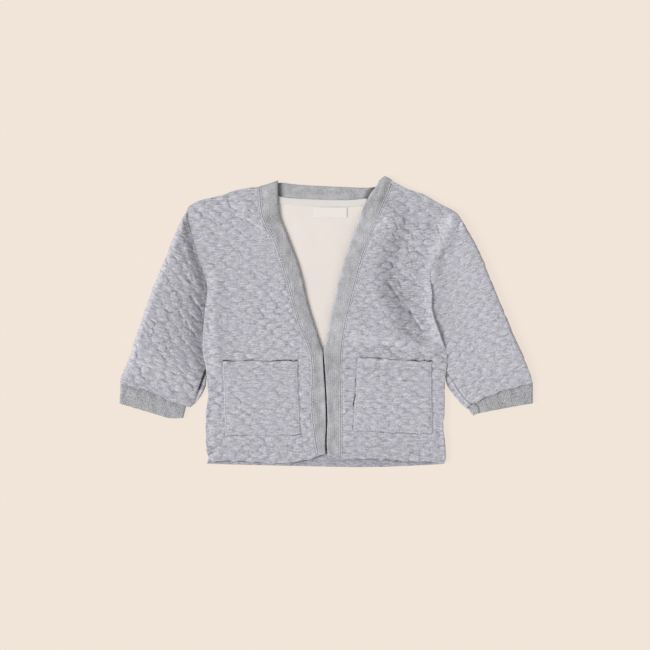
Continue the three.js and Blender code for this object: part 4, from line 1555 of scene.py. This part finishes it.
@dataclass
class Front:
    """A front, from its band's seam to the garment's side, with its topstitching."""

    finishes: Wardrobe
    side: Side
    stitched: float = 1.2  # from the band's seam
    seam_press: float = 2.6  # this near its seam the band presses on the quilting
    mouth_shadow: float = 2.8  # how dark the painted shadow over the pocket's mouth is
    mouth_shadow_spot: float = 1.6  # and the painted shadow's spot near its right end
    side_shadow: float = 0.5  # how dark the painted shadow along the pocket's sides is
    inner_shadow: float = 2.4  # and how much darker that painted shadow is along the right pocket's inner side
    # hem_shade: painted shade, darker towards the hem
    hem_shade: float = 0.15
    QUILTING = {
        Side.LEFT: Quilting(seed=5, loft=1.15, fold=0.9, wrinkle=0.42),
        Side.RIGHT: Quilting(seed=7, loft=1.1, fold=0.95, wrinkle=0.36),
    }
    SEAM_HIGH = {Side.LEFT: 2.0, Side.RIGHT: 2.3}
    PATCHES = {Side.LEFT: LEFT_FRONT_PATCHES, Side.RIGHT: RIGHT_FRONT_PATCHES}
    CREASES = {Side.LEFT: LEFT_FRONT_CREASES, Side.RIGHT: RIGHT_FRONT_CREASES}
    ARMHOLE = 9  # the row of the side's table where the armhole begins

    def share(self, x: Array, y: Array) -> Array:
        """The share of its height that the quilting has, less beside the armhole's seam."""
        armhole = smooth(OUTLINES[self.side].side[self.ARMHOLE :], 12)
        return self.PATCHES[self.side](x, y) * (0.3 + 0.7 * smoothstep(beside(armhole, x, y)[0], 3, 12))

    def pressed(self, x: Array, y: Array) -> Array:
        """How far inside the pocket's outline or the band's seam a point lies."""
        from_seam, _ = beside(smooth(OUTLINES[self.side].seam)[::4], x, y)
        return np.maximum(inside_by(POCKETS[self.side], x, y), self.seam_press - from_seam)

    def shading(self, x: Array, y: Array) -> Array:
        """Painted shade: broken dark lines round the pocket, darker towards the hem, and darker in the right
        front's hollow.
        """
        left = self.side is Side.LEFT
        corners = POCKETS[self.side]
        (end, end_y), (start, start_y) = corners[2], corners[3]
        broken = np.clip(0.4 + 1.6 * Noise(Seed.POCKET_SHADE).at(x / 7, y / 7), 0, 1.4)
        mouth = start_y + (x - start) / (end - start) * (end_y - start_y)
        above = y - mouth - Pocket.SCALLOP * end_sway(x)
        within = smoothstep(x, start - 1, start + 2) * fall(x, end - 2, end + 1)
        spot = self.mouth_shadow_spot * bell(x, end - 9, 2.2)
        line = self.mouth_shadow * bell(above, 0.5, 0.8) * within * (broken + spot)
        sway = Pocket.SCALLOP * side_sway(y, np.full_like(y, -1)) * (x < start + 20)
        inside = inside_by(corners, x, y) - sway
        dark = self.side_shadow + (0 if left else self.inner_shadow * (x < 44))
        sides = dark * fall(y, -56, -48) * broken * bell(inside, -0.6, 0.8)
        # painted shade over the right front, deepest in its hollow
        hollow = 0 if left else 0.1 + 0.45 * bell(x, 84, 22) * bell(y, 14, 45)
        return -line - sides - hollow - self.hem_shade * fall(y, -150, -136)

    def panel(self) -> Panel:
        """The front's outline and height."""
        lines = OUTLINES[self.side]
        outer = np.concatenate((smooth(lines.side), smooth(lines.shoulder)))
        seam = smooth(lines.seam) + (self.side.value * TOUCH, 0)
        left_line, right_line = self.side.order(outer, seam)
        # the rims paint shade along the free edges and a dark line along the hem
        outer_rim = Rim(
            high=1.9, round=1.6, sewn_high=2.2, sewn_round=2.2, sewn_from=ARMHOLE_SEWN, shade=1.0
        )
        seam_rim = Rim(high=self.SEAM_HIGH[self.side], round=1.0, joined=True)
        return Panel(
            left_line=left_line,
            right_line=right_line,
            start=float(lines.hem[-1 if self.side is Side.LEFT else 0, 1]),
            end=float(lines.shoulder[-1, 1]) - 1.6,
            bottom_line=smooth(lines.hem),
            under=over_back,
            rims=(*self.side.order(outer_rim, seam_rim), Rim(high=1.9, round=1.5, shade=3.6)),
            quilting=self.QUILTING[self.side],
            share=self.share,
            creases=self.CREASES[self.side],
            pressed=self.pressed,
            shading=self.shading,
            scallop=1.0,
            straight_from=-56.0,
        )

    def build(self) -> bpy.types.Object:
        """Makes the front."""
        node = f"front_{self.side.word}"
        panel, draft = self.panel(), Draft()
        wall(panel, draft, lining=1)
        piece = draft.piece(f"{node}_cloth", (self.finishes.marl, self.finishes.cream))
        sewing = topstitch(panel, self.side is Side.RIGHT, self.stitched)
        stitches = sew(sewing, f"{node}_topstitch", self.finishes.thread)
        return settle(piece, node, panel.cut())


@dataclass
class Pocket:
    """A patch pocket, sewn down at its sides and bottom, its mouth standing off a little."""

    finishes: Wardrobe
    side: Side
    rest: float = 0.1
    lip: float = 1.3
    lip_depth: float = 8.0
    cloth: float = 0.8
    inset: float = 1.9  # of the stitching
    EDGE = Rim(high=0.25, round=4.0, soft=True)
    # the mouth's rim paints shade along it
    MOUTH = Rim(high=0.5, round=1.2, shade=3.4)
    SCALLOP = 1.2
    SEEDS = {Side.LEFT: 8, Side.RIGHT: 10}

    def panel(self) -> Panel:
        """The pocket's outline and height."""
        bottom_left, bottom_right, top_right, top_left = POCKETS[self.side]
        start = float(bottom_left[1] + bottom_right[1]) / 2
        end = float(top_left[1] + top_right[1]) / 2

        def under(x: Array, y: Array) -> Array:
            """The height of the underside, lifted unevenly at the mouth."""
            uneven = np.clip(0.6 + 1.1 * Noise(Seed.MOUTHS).at(x / 8, 0.5 + 0 * y), 0, 1.6)
            lifted = self.lip * uneven * smoothstep(y, end - self.lip_depth, end)
            return over_back(x, y) + VALLEY_CLOTH + self.rest + lifted

        return Panel(
            left_line=np.stack((bottom_left, top_left)),
            right_line=np.stack((bottom_right, top_right)),
            start=start,
            end=end,
            bottom_line=np.stack((bottom_left, bottom_right)),
            top_line=np.stack((top_left, top_right)),
            under=under,
            cloth=self.cloth,
            rims=(self.EDGE, self.EDGE, self.MOUTH),
            quilting=Quilting(
                loft=0.85, tall=4.3, fold=0.75, wrinkle=0.44, seed=self.SEEDS[self.side]
            ),
            share=lambda x, y: 0.15 + 0.85 * smoothstep(inside_by(POCKETS[self.side], x, y), 1, 7),
            scallop=self.SCALLOP,
            free_top=True,
        )

    def build(self) -> bpy.types.Object:
        """Makes the pocket and its stitching."""
        node = f"pocket_{self.side.word}"
        panel, draft, sewing = self.panel(), Draft(), Draft()
        wall(panel, draft, lining=1)
        piece = draft.piece(f"{node}_cloth", (self.finishes.marl, self.finishes.cream))
        v = np.linspace(panel.start + self.inset, panel.end - self.inset, 200)
        for u in (panel.left(v) + self.inset, panel.right(v) - self.inset):
            Stitches().run(sewing, panel, u, v)
        low = np.full_like(v, panel.start + self.inset)
        ends = float(panel.left(low[:1])[0]), float(panel.right(low[:1])[0])
        u = np.linspace(ends[0] + self.inset, ends[1] - self.inset, len(v))
        Stitches().run(sewing, panel, u, low)
        stitches = sew(sewing, f"{node}_stitching", self.finishes.thread)
        return settle(piece, node, panel.cut())


@dataclass
class FrontBand:
    """A folded rib band down one front."""

    finishes: Wardrobe
    side: Side
    cloth: float = 2.5
    slit_lift: float = 1.1
    neck_lift: float = 2.0
    stitched: float = 1.2  # from the seam
    # painted shade on the left band and painted light on the right one
    TONE = {Side.LEFT: -0.25, Side.RIGHT: 0.2}

    def panel(self) -> Panel:
        """The band's outline and height."""
        lines = OUTLINES[self.side]
        bottom, top = BAND_ENDS[self.side]
        inner_end = 0 if self.side is Side.LEFT else -1
        left_line, right_line = self.side.order(smooth(lines.seam), smooth(lines.edge))
        seam_rim = Rim(high=2.1, round=4.5, joined=True, soft=True)
        # the slit's edge and the band's ends carry painted shade
        edge_rim = Rim(
            high=1.9, round=1.1, sewn_high=0.7, sewn_round=3.2, sewn_from=-34, shade=1.6, change=5
        )
        return Panel(
            left_line=left_line,
            right_line=right_line,
            start=float(bottom[inner_end, 1]),
            end=float(top[inner_end, 1]),
            bottom_line=bottom,
            top_line=top,
            reach=12.0,
            under=self.under,
            cloth=self.cloth,
            rims=(*self.side.order(seam_rim, edge_rim), Rim(high=1.6, round=1.6, shade=1.6)),
            pitch=0.8,
            row_pitch=1.4,
            relief=self.relief,
            shading=lambda x, y: np.full_like(x, self.TONE[self.side]),
            strip=True,
        )

    def under(self, x: Array, y: Array) -> Array:
        """The height of the underside, lifted along the slit and at the neck."""
        gap, _ = beside(smooth(OUTLINES[self.side].edge, 30), x, y)
        seam, _ = beside(smooth(OUTLINES[self.side].seam, 30), x, y)
        slit = self.slit_lift * bell(gap, 0, 5) * fall(y, -42, -32)
        neck = self.neck_lift * smoothstep(y, 118, 164) * smoothstep(seam, 1, 10)
        return over_back(x, y) + slit + neck

    def relief(self, u: Array, v: Array) -> Array:
        """The knit's unevenness."""
        wide, fine = Noise(Seed.BAND_WIDE), Noise(Seed.BAND_FINE)
        return 0.2 * wide.at(u / 7, v / 12) + 0.12 * fine.at(u / 2.6, v / 4)

    def build(self) -> bpy.types.Object:
        """Makes the band."""
        node = f"band_{self.side.word}"
        panel, draft = self.panel(), Draft()
        wall(panel, draft)
        piece = draft.piece(f"{node}_rib", (self.finishes.rib,))
        sewing = topstitch(panel, self.side is Side.LEFT, self.stitched)
        stitches = sew(sewing, f"{node}_topstitch", self.finishes.thread)
        return settle(piece, node, panel.cut())


@dataclass
class Neckband:
    """The folded rib band behind the neck, seen from its inner side."""

    finishes: Wardrobe
    # crease_shade: painted shade in the dips at the band's ends
    crease_shade: float = 1.1

    def panel(self) -> Panel:
        """The band's outline, in a frame that runs along it."""
        return Panel(
            left_line=smooth(NECKBAND_TOP),
            right_line=smooth(BACK_NECK) + (0, TOUCH),
            start=float(NECKBAND_TOP[0, 0]),
            end=float(NECKBAND_TOP[-1, 0]),
            cloth_frame=ClothFrame(-90),
            cloth=RIB_CLOTH,
            rims=(Rim(high=1.2, round=1.8), Rim(high=1.6, round=1.2), Rim(high=1.2, round=1.4)),
            pitch=0.8,
            row_pitch=1.0,
            relief=self.relief,
            creases=NECKBAND_CREASES,
            shading=lambda x, y: self.crease_shade * NECKBAND_CREASES(x, y),
        )

    def relief(self, u: Array, v: Array) -> Array:
        """The knit's unevenness."""
        wide, fine = Noise(Seed.NECKBAND_WIDE), Noise(Seed.NECKBAND_FINE)
        return 0.2 * wide.at(u / 6, v / 9) + 0.1 * fine.at(u / 2.5, v / 3)

    def build(self) -> bpy.types.Object:
        """Makes the band."""
        panel = self.panel()
        draft = Draft()
        wall(panel, draft)
        piece = draft.piece("neckband_rib", (self.finishes.rib,))
        return settle(piece, "neckband", panel.cut())


def all_round(panel: Panel) -> tuple[tuple[float, float], float]:
    """The cut of a tube whose upper side is a panel."""
    (width, length), area = panel.cut()
    return (2 * width, length), 2 * area


@dataclass
class Tube:
    """A flattened tube of cloth: outer sides, inner sides, and the wall between them."""

    panel: Panel
    wall: float
    floor: float  # the thickness of the lower layer
    lift: float  # how far the underside curls up at the folds
    under_relief: Height
    closed: bool  # its far end is sewn to a point
    inner_end: float
    CLEAR = 0.7  # the inner sides keep this far from the deepest folds
    NEAR = (-5.0, -2.5, 0.0, 2.5, 5.0)  # the folds that may be over a point

    def build(self, draft: Draft) -> None:
        """Adds the tube's points and faces."""
        panel, k = self.panel, self.panel.divide
        u, v = panel.grid()
        top, loft = panel.surface(u, v)
        back_u, back_v = u[:, -2:0:-1][:, ::2], v[:, -2:0:-1][:, ::2]
        spare = (u.shape[1] + back_u.shape[1]) % k
        back_u, back_v = back_u[:, spare:], back_v[:, spare:]
        x, y = panel.place(back_u, back_v)
        shape = panel.edge(back_u, back_v)
        relief = self.under_relief(back_u, back_v)
        z = 0.05 + np.clip(0.9 - relief, 0, 1.1) * shape * 0.8 + self.lift * (1 - shape)
        bottom = np.stack((x, y, z), -1)
        # both sides carry their painted light and shade in the loft attribute
        outer = draft.add(
            np.concatenate((top, bottom), 1),
            np.concatenate((u, back_u), 1),
            np.concatenate((v, back_v), 1),
            np.concatenate((panel.painted_shades(u, v, top, loft), hollows(relief * shape)), 1),
        )
        ring = np.concatenate((outer, outer[:, :1]), 1)
        draft.sheet(ring)
        self._inside(draft, ring, np.concatenate((u, back_u), 1), v[:, 0], u.shape[1])

    def _inside(self, draft: Draft, ring: Array, across: Array, along: Array, tops: int) -> None:
        """Adds the inner sides and closes the ends.

        Args:
            draft: the mesh so far.
            ring: the outer points, row by row.
            across: their places across.
            along: the rows' places along.
            tops: how many points of a row are on the upper side.
        """
        panel, k = self.panel, self.panel.divide
        rows = np.flatnonzero(along <= self.inner_end + 1e-6)[::k]
        u = across[rows][:, ::k]
        v = np.repeat(along[rows][:, None], u.shape[1], 1)
        is_top = np.arange(across.shape[1])[::k] < tops
        left, right = panel.left(v) + self.wall, panel.right(v) - self.wall
        narrow = right < left
        middle = (left + right) / 2
        left, right = np.where(narrow, middle, left), np.where(narrow, middle, right)
        kept = np.clip(u, left, right)
        x, y = panel.place(kept, v)
        near = [kept + step for step in self.NEAR]
        low = np.minimum.reduce([panel.full(*panel.place(at, v), at, v) for at in near])
        room = np.maximum(low - panel.cloth - self.floor - self.CLEAR, 0)
        open_by = round_off(np.maximum(np.minimum(kept - left, right - kept), 0), 6.0)
        z = self.floor + np.where(is_top[None], room * open_by + LAYER_GAP * 0.5, 0.0)
        inner = draft.add(np.stack((x, y, z), -1), kept, v)
        lining = np.concatenate((inner, inner[:, :1]), 1)
        draft.sheet(lining, flip=True, finish=1)
        draft.join(lining[0], ring[0])
        if self.closed:
            self._cap(draft, ring[-1, :-1], False, 0)
            self._cap(draft, lining[-1, :-1], True, 1)
        else:
            draft.join(lining[-1], ring[-1], flip=True)

    def _cap(self, draft: Draft, ring: Array, flip: bool, finish: int) -> None:
        """Closes a ring of points with a fan.

        Args:
            draft: the mesh so far.
            ring: the ring's points.
            flip: whether the faces are turned over.
            finish: the number of their material.
        """
        middle = np.concatenate(draft.points)[ring].mean(0)
        centre = draft.add(middle[None], np.zeros(1), np.zeros(1))
        fan = np.stack((ring, np.roll(ring, -1), np.repeat(centre, len(ring))), -1)
        draft.face(fan, flip, finish)


@dataclass
class Sleeve:
    """A sleeve, one piece of cloth folded to a flattened tube."""

    finishes: Wardrobe
    side: Side
    rise: float = 11.5  # from the body to the outer fold
    right_share: float = 0.24  # of the rise, for the right sleeve
    dent: float = 2.0  # beside the armhole's seam at the left
    seam_rise: float = 1.4  # of the armhole's seam at the right
    sunk: float = 1.9  # beside the body's edge, where that lies over the sleeve
    right_sunk: float = 0.3  # the share of it at the right
    flange: float = 2.5  # the height of the lower layer where it shows
    cuff_reach: float = 42.0  # the sleeve flattens towards the cuff over this length
    # fold_shade: painted shade along the fold over the lower layer
    fold_shade: float = 3.0
    hem_wall: float = 2.8  # the cloth round the folds
    curl: float = 1.6
    QUILTING = {
        Side.LEFT: Quilting(
            seed=11, loft=1.1, wide=6.6, tall=4.9, fold=0.95, facing=62, turned=0.8, folded=-0.3,
            wrinkle=0.4,
        ),
        Side.RIGHT: Quilting(
            seed=13, loft=0.7, wide=7.2, fold=0.6, facing=100, folded=0.1, wrinkle=0.3
        ),
    }
    UNDERSIDE = Quilting(loft=0.9, seed=12)
    OUTER_RIM = {Side.LEFT: Rim(high=2.6, round=7.0), Side.RIGHT: Rim(high=5.4, round=4.0)}
    CREASES = {Side.LEFT: LEFT_SLEEVE_CREASES, Side.RIGHT: RIGHT_SLEEVE_CREASES}

    def upper(self, from_body: Array, share: Array, flatness: Array, y: Array) -> Array:
        """The height of the upper layer's valleys.

        Args:
            from_body: the distance from the body's side.
            share: the same, as a share of the sleeve's width.
            flatness: 1, and less towards the cuff.
            y: the points' y.

        Returns:
            The height over the surface.
        """
        base = UPPER_LAYER + VALLEY_CLOTH
        sunk = self.sunk * bell(from_body, 0, 9) * fall(y, ARMHOLE_SEWN, 70)
        if self.side is Side.LEFT:
            above = smoothstep(y, ARMHOLE_SEWN - 12, ARMHOLE_SEWN + 18)
            base = base + self.rise * flatness * (1 - (1 - share) ** 2.2) * (1 - 0.5 * smoothstep(y, 60, 118))
            return base - self.dent * above * bell(from_body, 5, 4.4) - sunk
        base = base + self.right_share * self.rise * flatness * smoothstep(share, 0.2, 0.9)
        sewn = smoothstep(y, -24, 16) * (1 + smoothstep(y, 20, 60))
        return base + self.seam_rise * sewn * bell(from_body, 0, 12) - self.right_sunk * sunk

    def shading(self, x: Array, y: Array) -> Array:
        """Painted shade along the fold over the lower layer and a paler strip beside it, painted shade at the
        lower layer's edge, and painted shade in the hollows.
        """
        _, outside = beside(smooth(UNDER_FOLDS[self.side], 40), x, y)
        if self.side is Side.LEFT:
            dark = self.fold_shade * bell(outside, 0.5, 1.4) * smoothstep(y, -88, -78) * fall(y, -61, -56)
            pale = 2.2 * bell(outside, 2.6, 1.3) * smoothstep(-y, 62, 70)
            # painted shade over the left sleeve, deepest beside the body
            hollow = 0.12 + 0.35 * bell(x, -158, 16) * bell(y, 2, 34)
            return pale - hollow - 0.9 * smoothstep(outside, 3.8, 6.2) - dark
        dark = self.fold_shade * bell(outside, -0.2, 0.8)
        pale = 0.9 * bell(outside, 2.0, 1.4)
        edge = 1.3 * smoothstep(outside, 4.0, 7.0) * smoothstep(y, -90, -74)
        return pale - edge - 0.8 * dark

    def panel(self) -> Panel:
        """The sleeve's outline and height."""
        left = self.side is Side.LEFT
        cloth_frame = ClothFrame(SLEEVE_TURNS[self.side])
        side, under = OUTLINES[self.side].side, SLEEVE_UNDERS[self.side]
        body = smooth(side)
        body = body[body[:, 1] > under[-1, 1]]
        inward = np.concatenate((smooth(under), body)) + (self.side.value * TOUCH, 0)
        left_line, right_line = self.side.order(smooth(SLEEVE_OUTERS[self.side]), inward)
        _, tip = cloth_frame.cloth(side[-1])
        _, armpit = cloth_frame.cloth(under[-1])
        seam = CUFF_SEAMS[self.side]
        start = float(cloth_frame.cloth(seam)[1].mean())
        inner_rim = Rim(high=1.3, round=1.6, sewn_high=9.0, sewn_round=0.6, sewn_from=float(armpit) - 6)
        panel = Panel(
            left_line=left_line,
            right_line=right_line,
            start=start,
            end=float(tip) - 2.4,
            cloth_frame=cloth_frame,
            bottom_line=seam,
            rims=(*self.side.order(self.OUTER_RIM[self.side], inner_rim), Rim()),
            quilting=self.QUILTING[self.side],
            creases=self.CREASES[self.side],
            shading=self.shading,
            open_ends=True,
            scallop=0.8,
        )
        fold = smooth(UNDER_FOLDS[self.side], 40)

        def full(x: Array, y: Array, u: Array, v: Array) -> Array:
            """The height of the valleys, with the lower layer's beside the fold."""
            width = np.maximum(panel.right(v) - panel.left(v), 1e-6)
            from_body = (panel.right(v) - u) if left else (u - panel.left(v))
            flatness = 0.25 + 0.75 * smoothstep(v, start, start + self.cuff_reach)
            upper = self.upper(from_body, np.clip(from_body / width, 0, 1), flatness, y)
            over = smoothstep(-beside(fold, x, y)[1], -0.6, 0.8)
            return self.flange + (upper - self.flange) * over

        panel.full = full
        return panel

    def build(self) -> bpy.types.Object:
        """Makes the sleeve."""
        node = f"sleeve_{self.side.word}"
        panel, draft = self.panel(), Draft()
        Tube(
            panel=panel,
            wall=self.hem_wall,
            floor=self.flange - LAYER_GAP,
            lift=self.curl,
            under_relief=self.UNDERSIDE.bubbles,
            closed=True,
            inner_end=panel.end - 9,
        ).build(draft)
        piece = draft.piece(f"{node}_cloth", (self.finishes.marl, self.finishes.cream))
        return settle(piece, node, all_round(panel))


@dataclass
class Cuff:
    """A rib cuff, a short flattened tube, open at the wrist."""

    finishes: Wardrobe
    side: Side
    thick: float = 1.9
    tucked: float = 0.3  # its top runs this far in under the sleeve's end
    curl: float = 1.2
    # the cuffs' painted shade, as in the sleeves' shade
    left_painted_shade: float = -0.3
    right_painted_shade: float = -0.55
    fold_shade: float = 2.2

    def panel(self) -> Panel:
        """The cuff's outline and height."""
        outer, inner, wrist = CUFF_LINES[self.side]
        left_line, right_line = self.side.order(outer, inner)
        cloth_frame = ClothFrame(SLEEVE_TURNS[self.side])
        seam = CUFF_SEAMS[self.side]
        start = float(cloth_frame.cloth(wrist)[1].mean())
        end = float(cloth_frame.cloth(seam)[1].mean()) + self.tucked
        panel = Panel(
            left_line=left_line,
            right_line=right_line,
            start=start,
            end=end,
            cloth_frame=cloth_frame,
            bottom_line=smooth(wrist),
            top_line=seam + (0, self.tucked),
            reach=end - start,
            cloth=2 * self.thick + LAYER_GAP,
            rims=(Rim(high=1.8, round=2.0),) * 3,
            shading=self.shading,
            open_ends=True,
            pitch=0.8,
            row_pitch=0.8,
            relief=self.relief,
        )
        panel.full = self.full
        return panel

    def full(self, x: Array, y: Array, u: Array, v: Array) -> Array:
        """The height of the cuff, with the right one's lower layer beside its fold."""
        right = self.side is Side.RIGHT
        over = smoothstep(-beside(CUFF_FOLD, x, y)[1], -0.8, 0.6) if right else 1.0
        return self.thick + (self.thick + LAYER_GAP) * over + 0 * x

    def shading(self, x: Array, y: Array) -> Array:
        """The cuff's painted shade, as in the sleeve's shade, and a dark line of painted shade beside the
        right one's lower layer, paler beyond it.
        """
        if self.side is Side.LEFT:
            return np.full_like(x, self.left_painted_shade)
        outside = beside(CUFF_FOLD, x, y)[1]
        return self.right_painted_shade + 0.8 * smoothstep(outside, 0.4, 1.6) - self.fold_shade * bell(outside, 0, 1)

    def relief(self, u: Array, v: Array) -> Array:
        """The knit's unevenness and the gathers at the seam."""
        seam = float(ClothFrame(SLEEVE_TURNS[self.side]).cloth(CUFF_SEAMS[self.side])[1].mean())
        gathers = smoothstep(v, seam - 7, seam) * (0.7 + 0.45 * Noise(Seed.GATHERS).at(u / 4.5, v / 9))
        wide, fine = Noise(Seed.CUFF_WIDE), Noise(Seed.CUFF_FINE)
        return 0.25 * wide.at(u / 6, v / 8) + 0.16 * fine.at(u / 2.6, v / 3.4) - gathers

    def build(self) -> bpy.types.Object:
        """Makes the cuff."""
        node = f"cuff_{self.side.word}"
        panel, draft = self.panel(), Draft()
        Tube(
            panel=panel,
            wall=self.thick,
            floor=self.thick,
            lift=self.curl,
            under_relief=lambda u, v: np.full_like(u, 0.6),
            closed=False,
            inner_end=panel.end,
        ).build(draft)
        piece = draft.piece(f"{node}_rib", (self.finishes.cuff, self.finishes.cuff))
        return settle(piece, node, all_round(panel))


@dataclass
class NeckTape:
    """The tape over the back neck seam, and the blank label below it."""

    finishes: Wardrobe
    cloth: float = 0.7
    label_cloth: float = 0.16
    depth: float = 8.0

    def tape(self) -> Panel:
        """The tape's outline, in a frame that runs along it."""
        upper = BACK_NECK[2:6] - (0, 0.6)
        upper[3, 0] = 49.0
        lower = upper - (0, self.depth)
        return self._flat(smooth(upper), smooth(lower), -57.0, 48.5, self.cloth)

    def _flat(self, upper: Array, lower: Array, start: float, end: float, cloth: float) -> Panel:
        """A thin piece that lies on the inside of the back.

        Args:
            upper: its side towards the neck.
            lower: its other side.
            start: its left end.
            end: its right end.
            cloth: its thickness.

        Returns:
            The piece's outline and height.
        """
        return Panel(
            left_line=upper,
            right_line=lower,
            start=start,
            end=end,
            cloth_frame=ClothFrame(-90),
            under=lambda x, y: np.full_like(x, UPPER_LAYER - 0.25),
            cloth=cloth,
            rims=(Rim(high=0.2, round=0.5),) * 3,
            pitch=0.6,
            row_pitch=1.0,
            divide=2,
            relief=lambda u, v: 0.05 * Noise(Seed.TAPE).at(u / 3, v / 9),
        )

    def build(self) -> list[bpy.types.Object]:
        """Makes the tape and the label."""
        made = []
        upper, lower = points((-14.5, 137), (24.5, 137)), points((-14.5, 124.6), (24.5, 124.6))
        label = self._flat(upper, lower, -14.5, 24.5, self.label_cloth)
        for node, panel, finish in (
            ("neck_tape", self.tape(), self.finishes.tape),
            ("neck_label", label, self.finishes.label),
        ):
            draft = Draft()
            wall(panel, draft)
            piece = draft.piece(f"{node}_cloth", (finish,))
            made.append(settle(piece, node, panel.cut()))
        return made


@dataclass
class Studio:
    """The plain pale floor, the soft light and the camera straight above."""

    paper: tuple[float, float, float] = (241, 229, 217)
    frame_width: float = 0.78
    distance: float = 3.0
    aim: tuple[float, float] = (-0.0018, -0.0042)
    key: float = 2.7
    key_from: tuple[float, float, float] = (-1.0, -0.16, 0.74)
    key_spread: float = 34.0  # degrees
    fill: float = 0.52
    SENSOR = 36.0

    def floor(self) -> None:
        """A pale floor that lights itself, so that hardly any shadow falls on it."""
        mesh = bpy.data.meshes.new("floor")
        half, low = 3.0, -0.0006
        mesh.from_pydata(
            [(-half, -half, low), (half, -half, low), (half, half, low), (-half, half, low)],
            [],
            [(0, 1, 2, 3)],
        )
        g = Graph("pale_paper")
        surface = {
            "Base Color": linear(*self.paper, 0.12),
            "Roughness": 1.0,
            "Specular IOR Level": 0.0,
            "Emission Color": linear(*self.paper, 0.88),
            "Emission Strength": 1.0,
        }
        g.finish(surface)
        mesh.materials.append(g.material)
        floor = bpy.data.objects.new("floor", mesh)
        bpy.context.scene.collection.objects.link(floor)

    def light(self) -> None:
        """A distant soft lamp low at the left, and an even fill."""
        lamp = bpy.data.lights.new("key", "SUN")
        lamp.angle, lamp.energy = math.radians(self.key_spread), self.key
        key = bpy.data.objects.new("key", lamp)
        key.rotation_euler = (-Vector(self.key_from)).to_track_quat("-Z", "Y").to_euler()
        bpy.context.scene.collection.objects.link(key)
        world = bpy.data.worlds.new("studio")
        world.use_nodes = True
        back = world.node_tree.nodes["Background"]
        back.inputs["Color"].default_value = (1, 1, 1, 1)
        back.inputs["Strength"].default_value = self.fill
        bpy.context.scene.world = world

    def camera(self) -> None:
        """The camera straight above, level with the photograph's frame."""
        lens = bpy.data.cameras.new("camera")
        lens.sensor_width = self.SENSOR
        lens.lens = self.SENSOR * self.distance / self.frame_width
        lens.clip_end = 20
        made = bpy.data.objects.new("camera", lens)
        made.location = (*self.aim, self.distance)
        bpy.context.scene.collection.objects.link(made)
        bpy.context.scene.camera = made
        bpy.context.scene.view_settings.view_transform = "Standard"

    def build(self) -> None:
        """Sets up the studio."""
        self.camera()
        self.light()
        self.floor()


def main() -> None:
    """Builds the studio and the cardigan, from the lowest layer up."""
    logging.basicConfig(level=logging.INFO, format="%(message)s")
    Studio().build()
    finishes = Wardrobe()
    Back(finishes).build()
    Neckband(finishes).build()
    NeckTape(finishes).build()
    for side in Side:
        Sleeve(finishes, side).build()
        Cuff(finishes, side).build()
        Front(finishes, side).build()
        FrontBand(finishes, side).build()
        Pocket(finishes, side).build()
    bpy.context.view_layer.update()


if __name__ == "__main__":
    main()
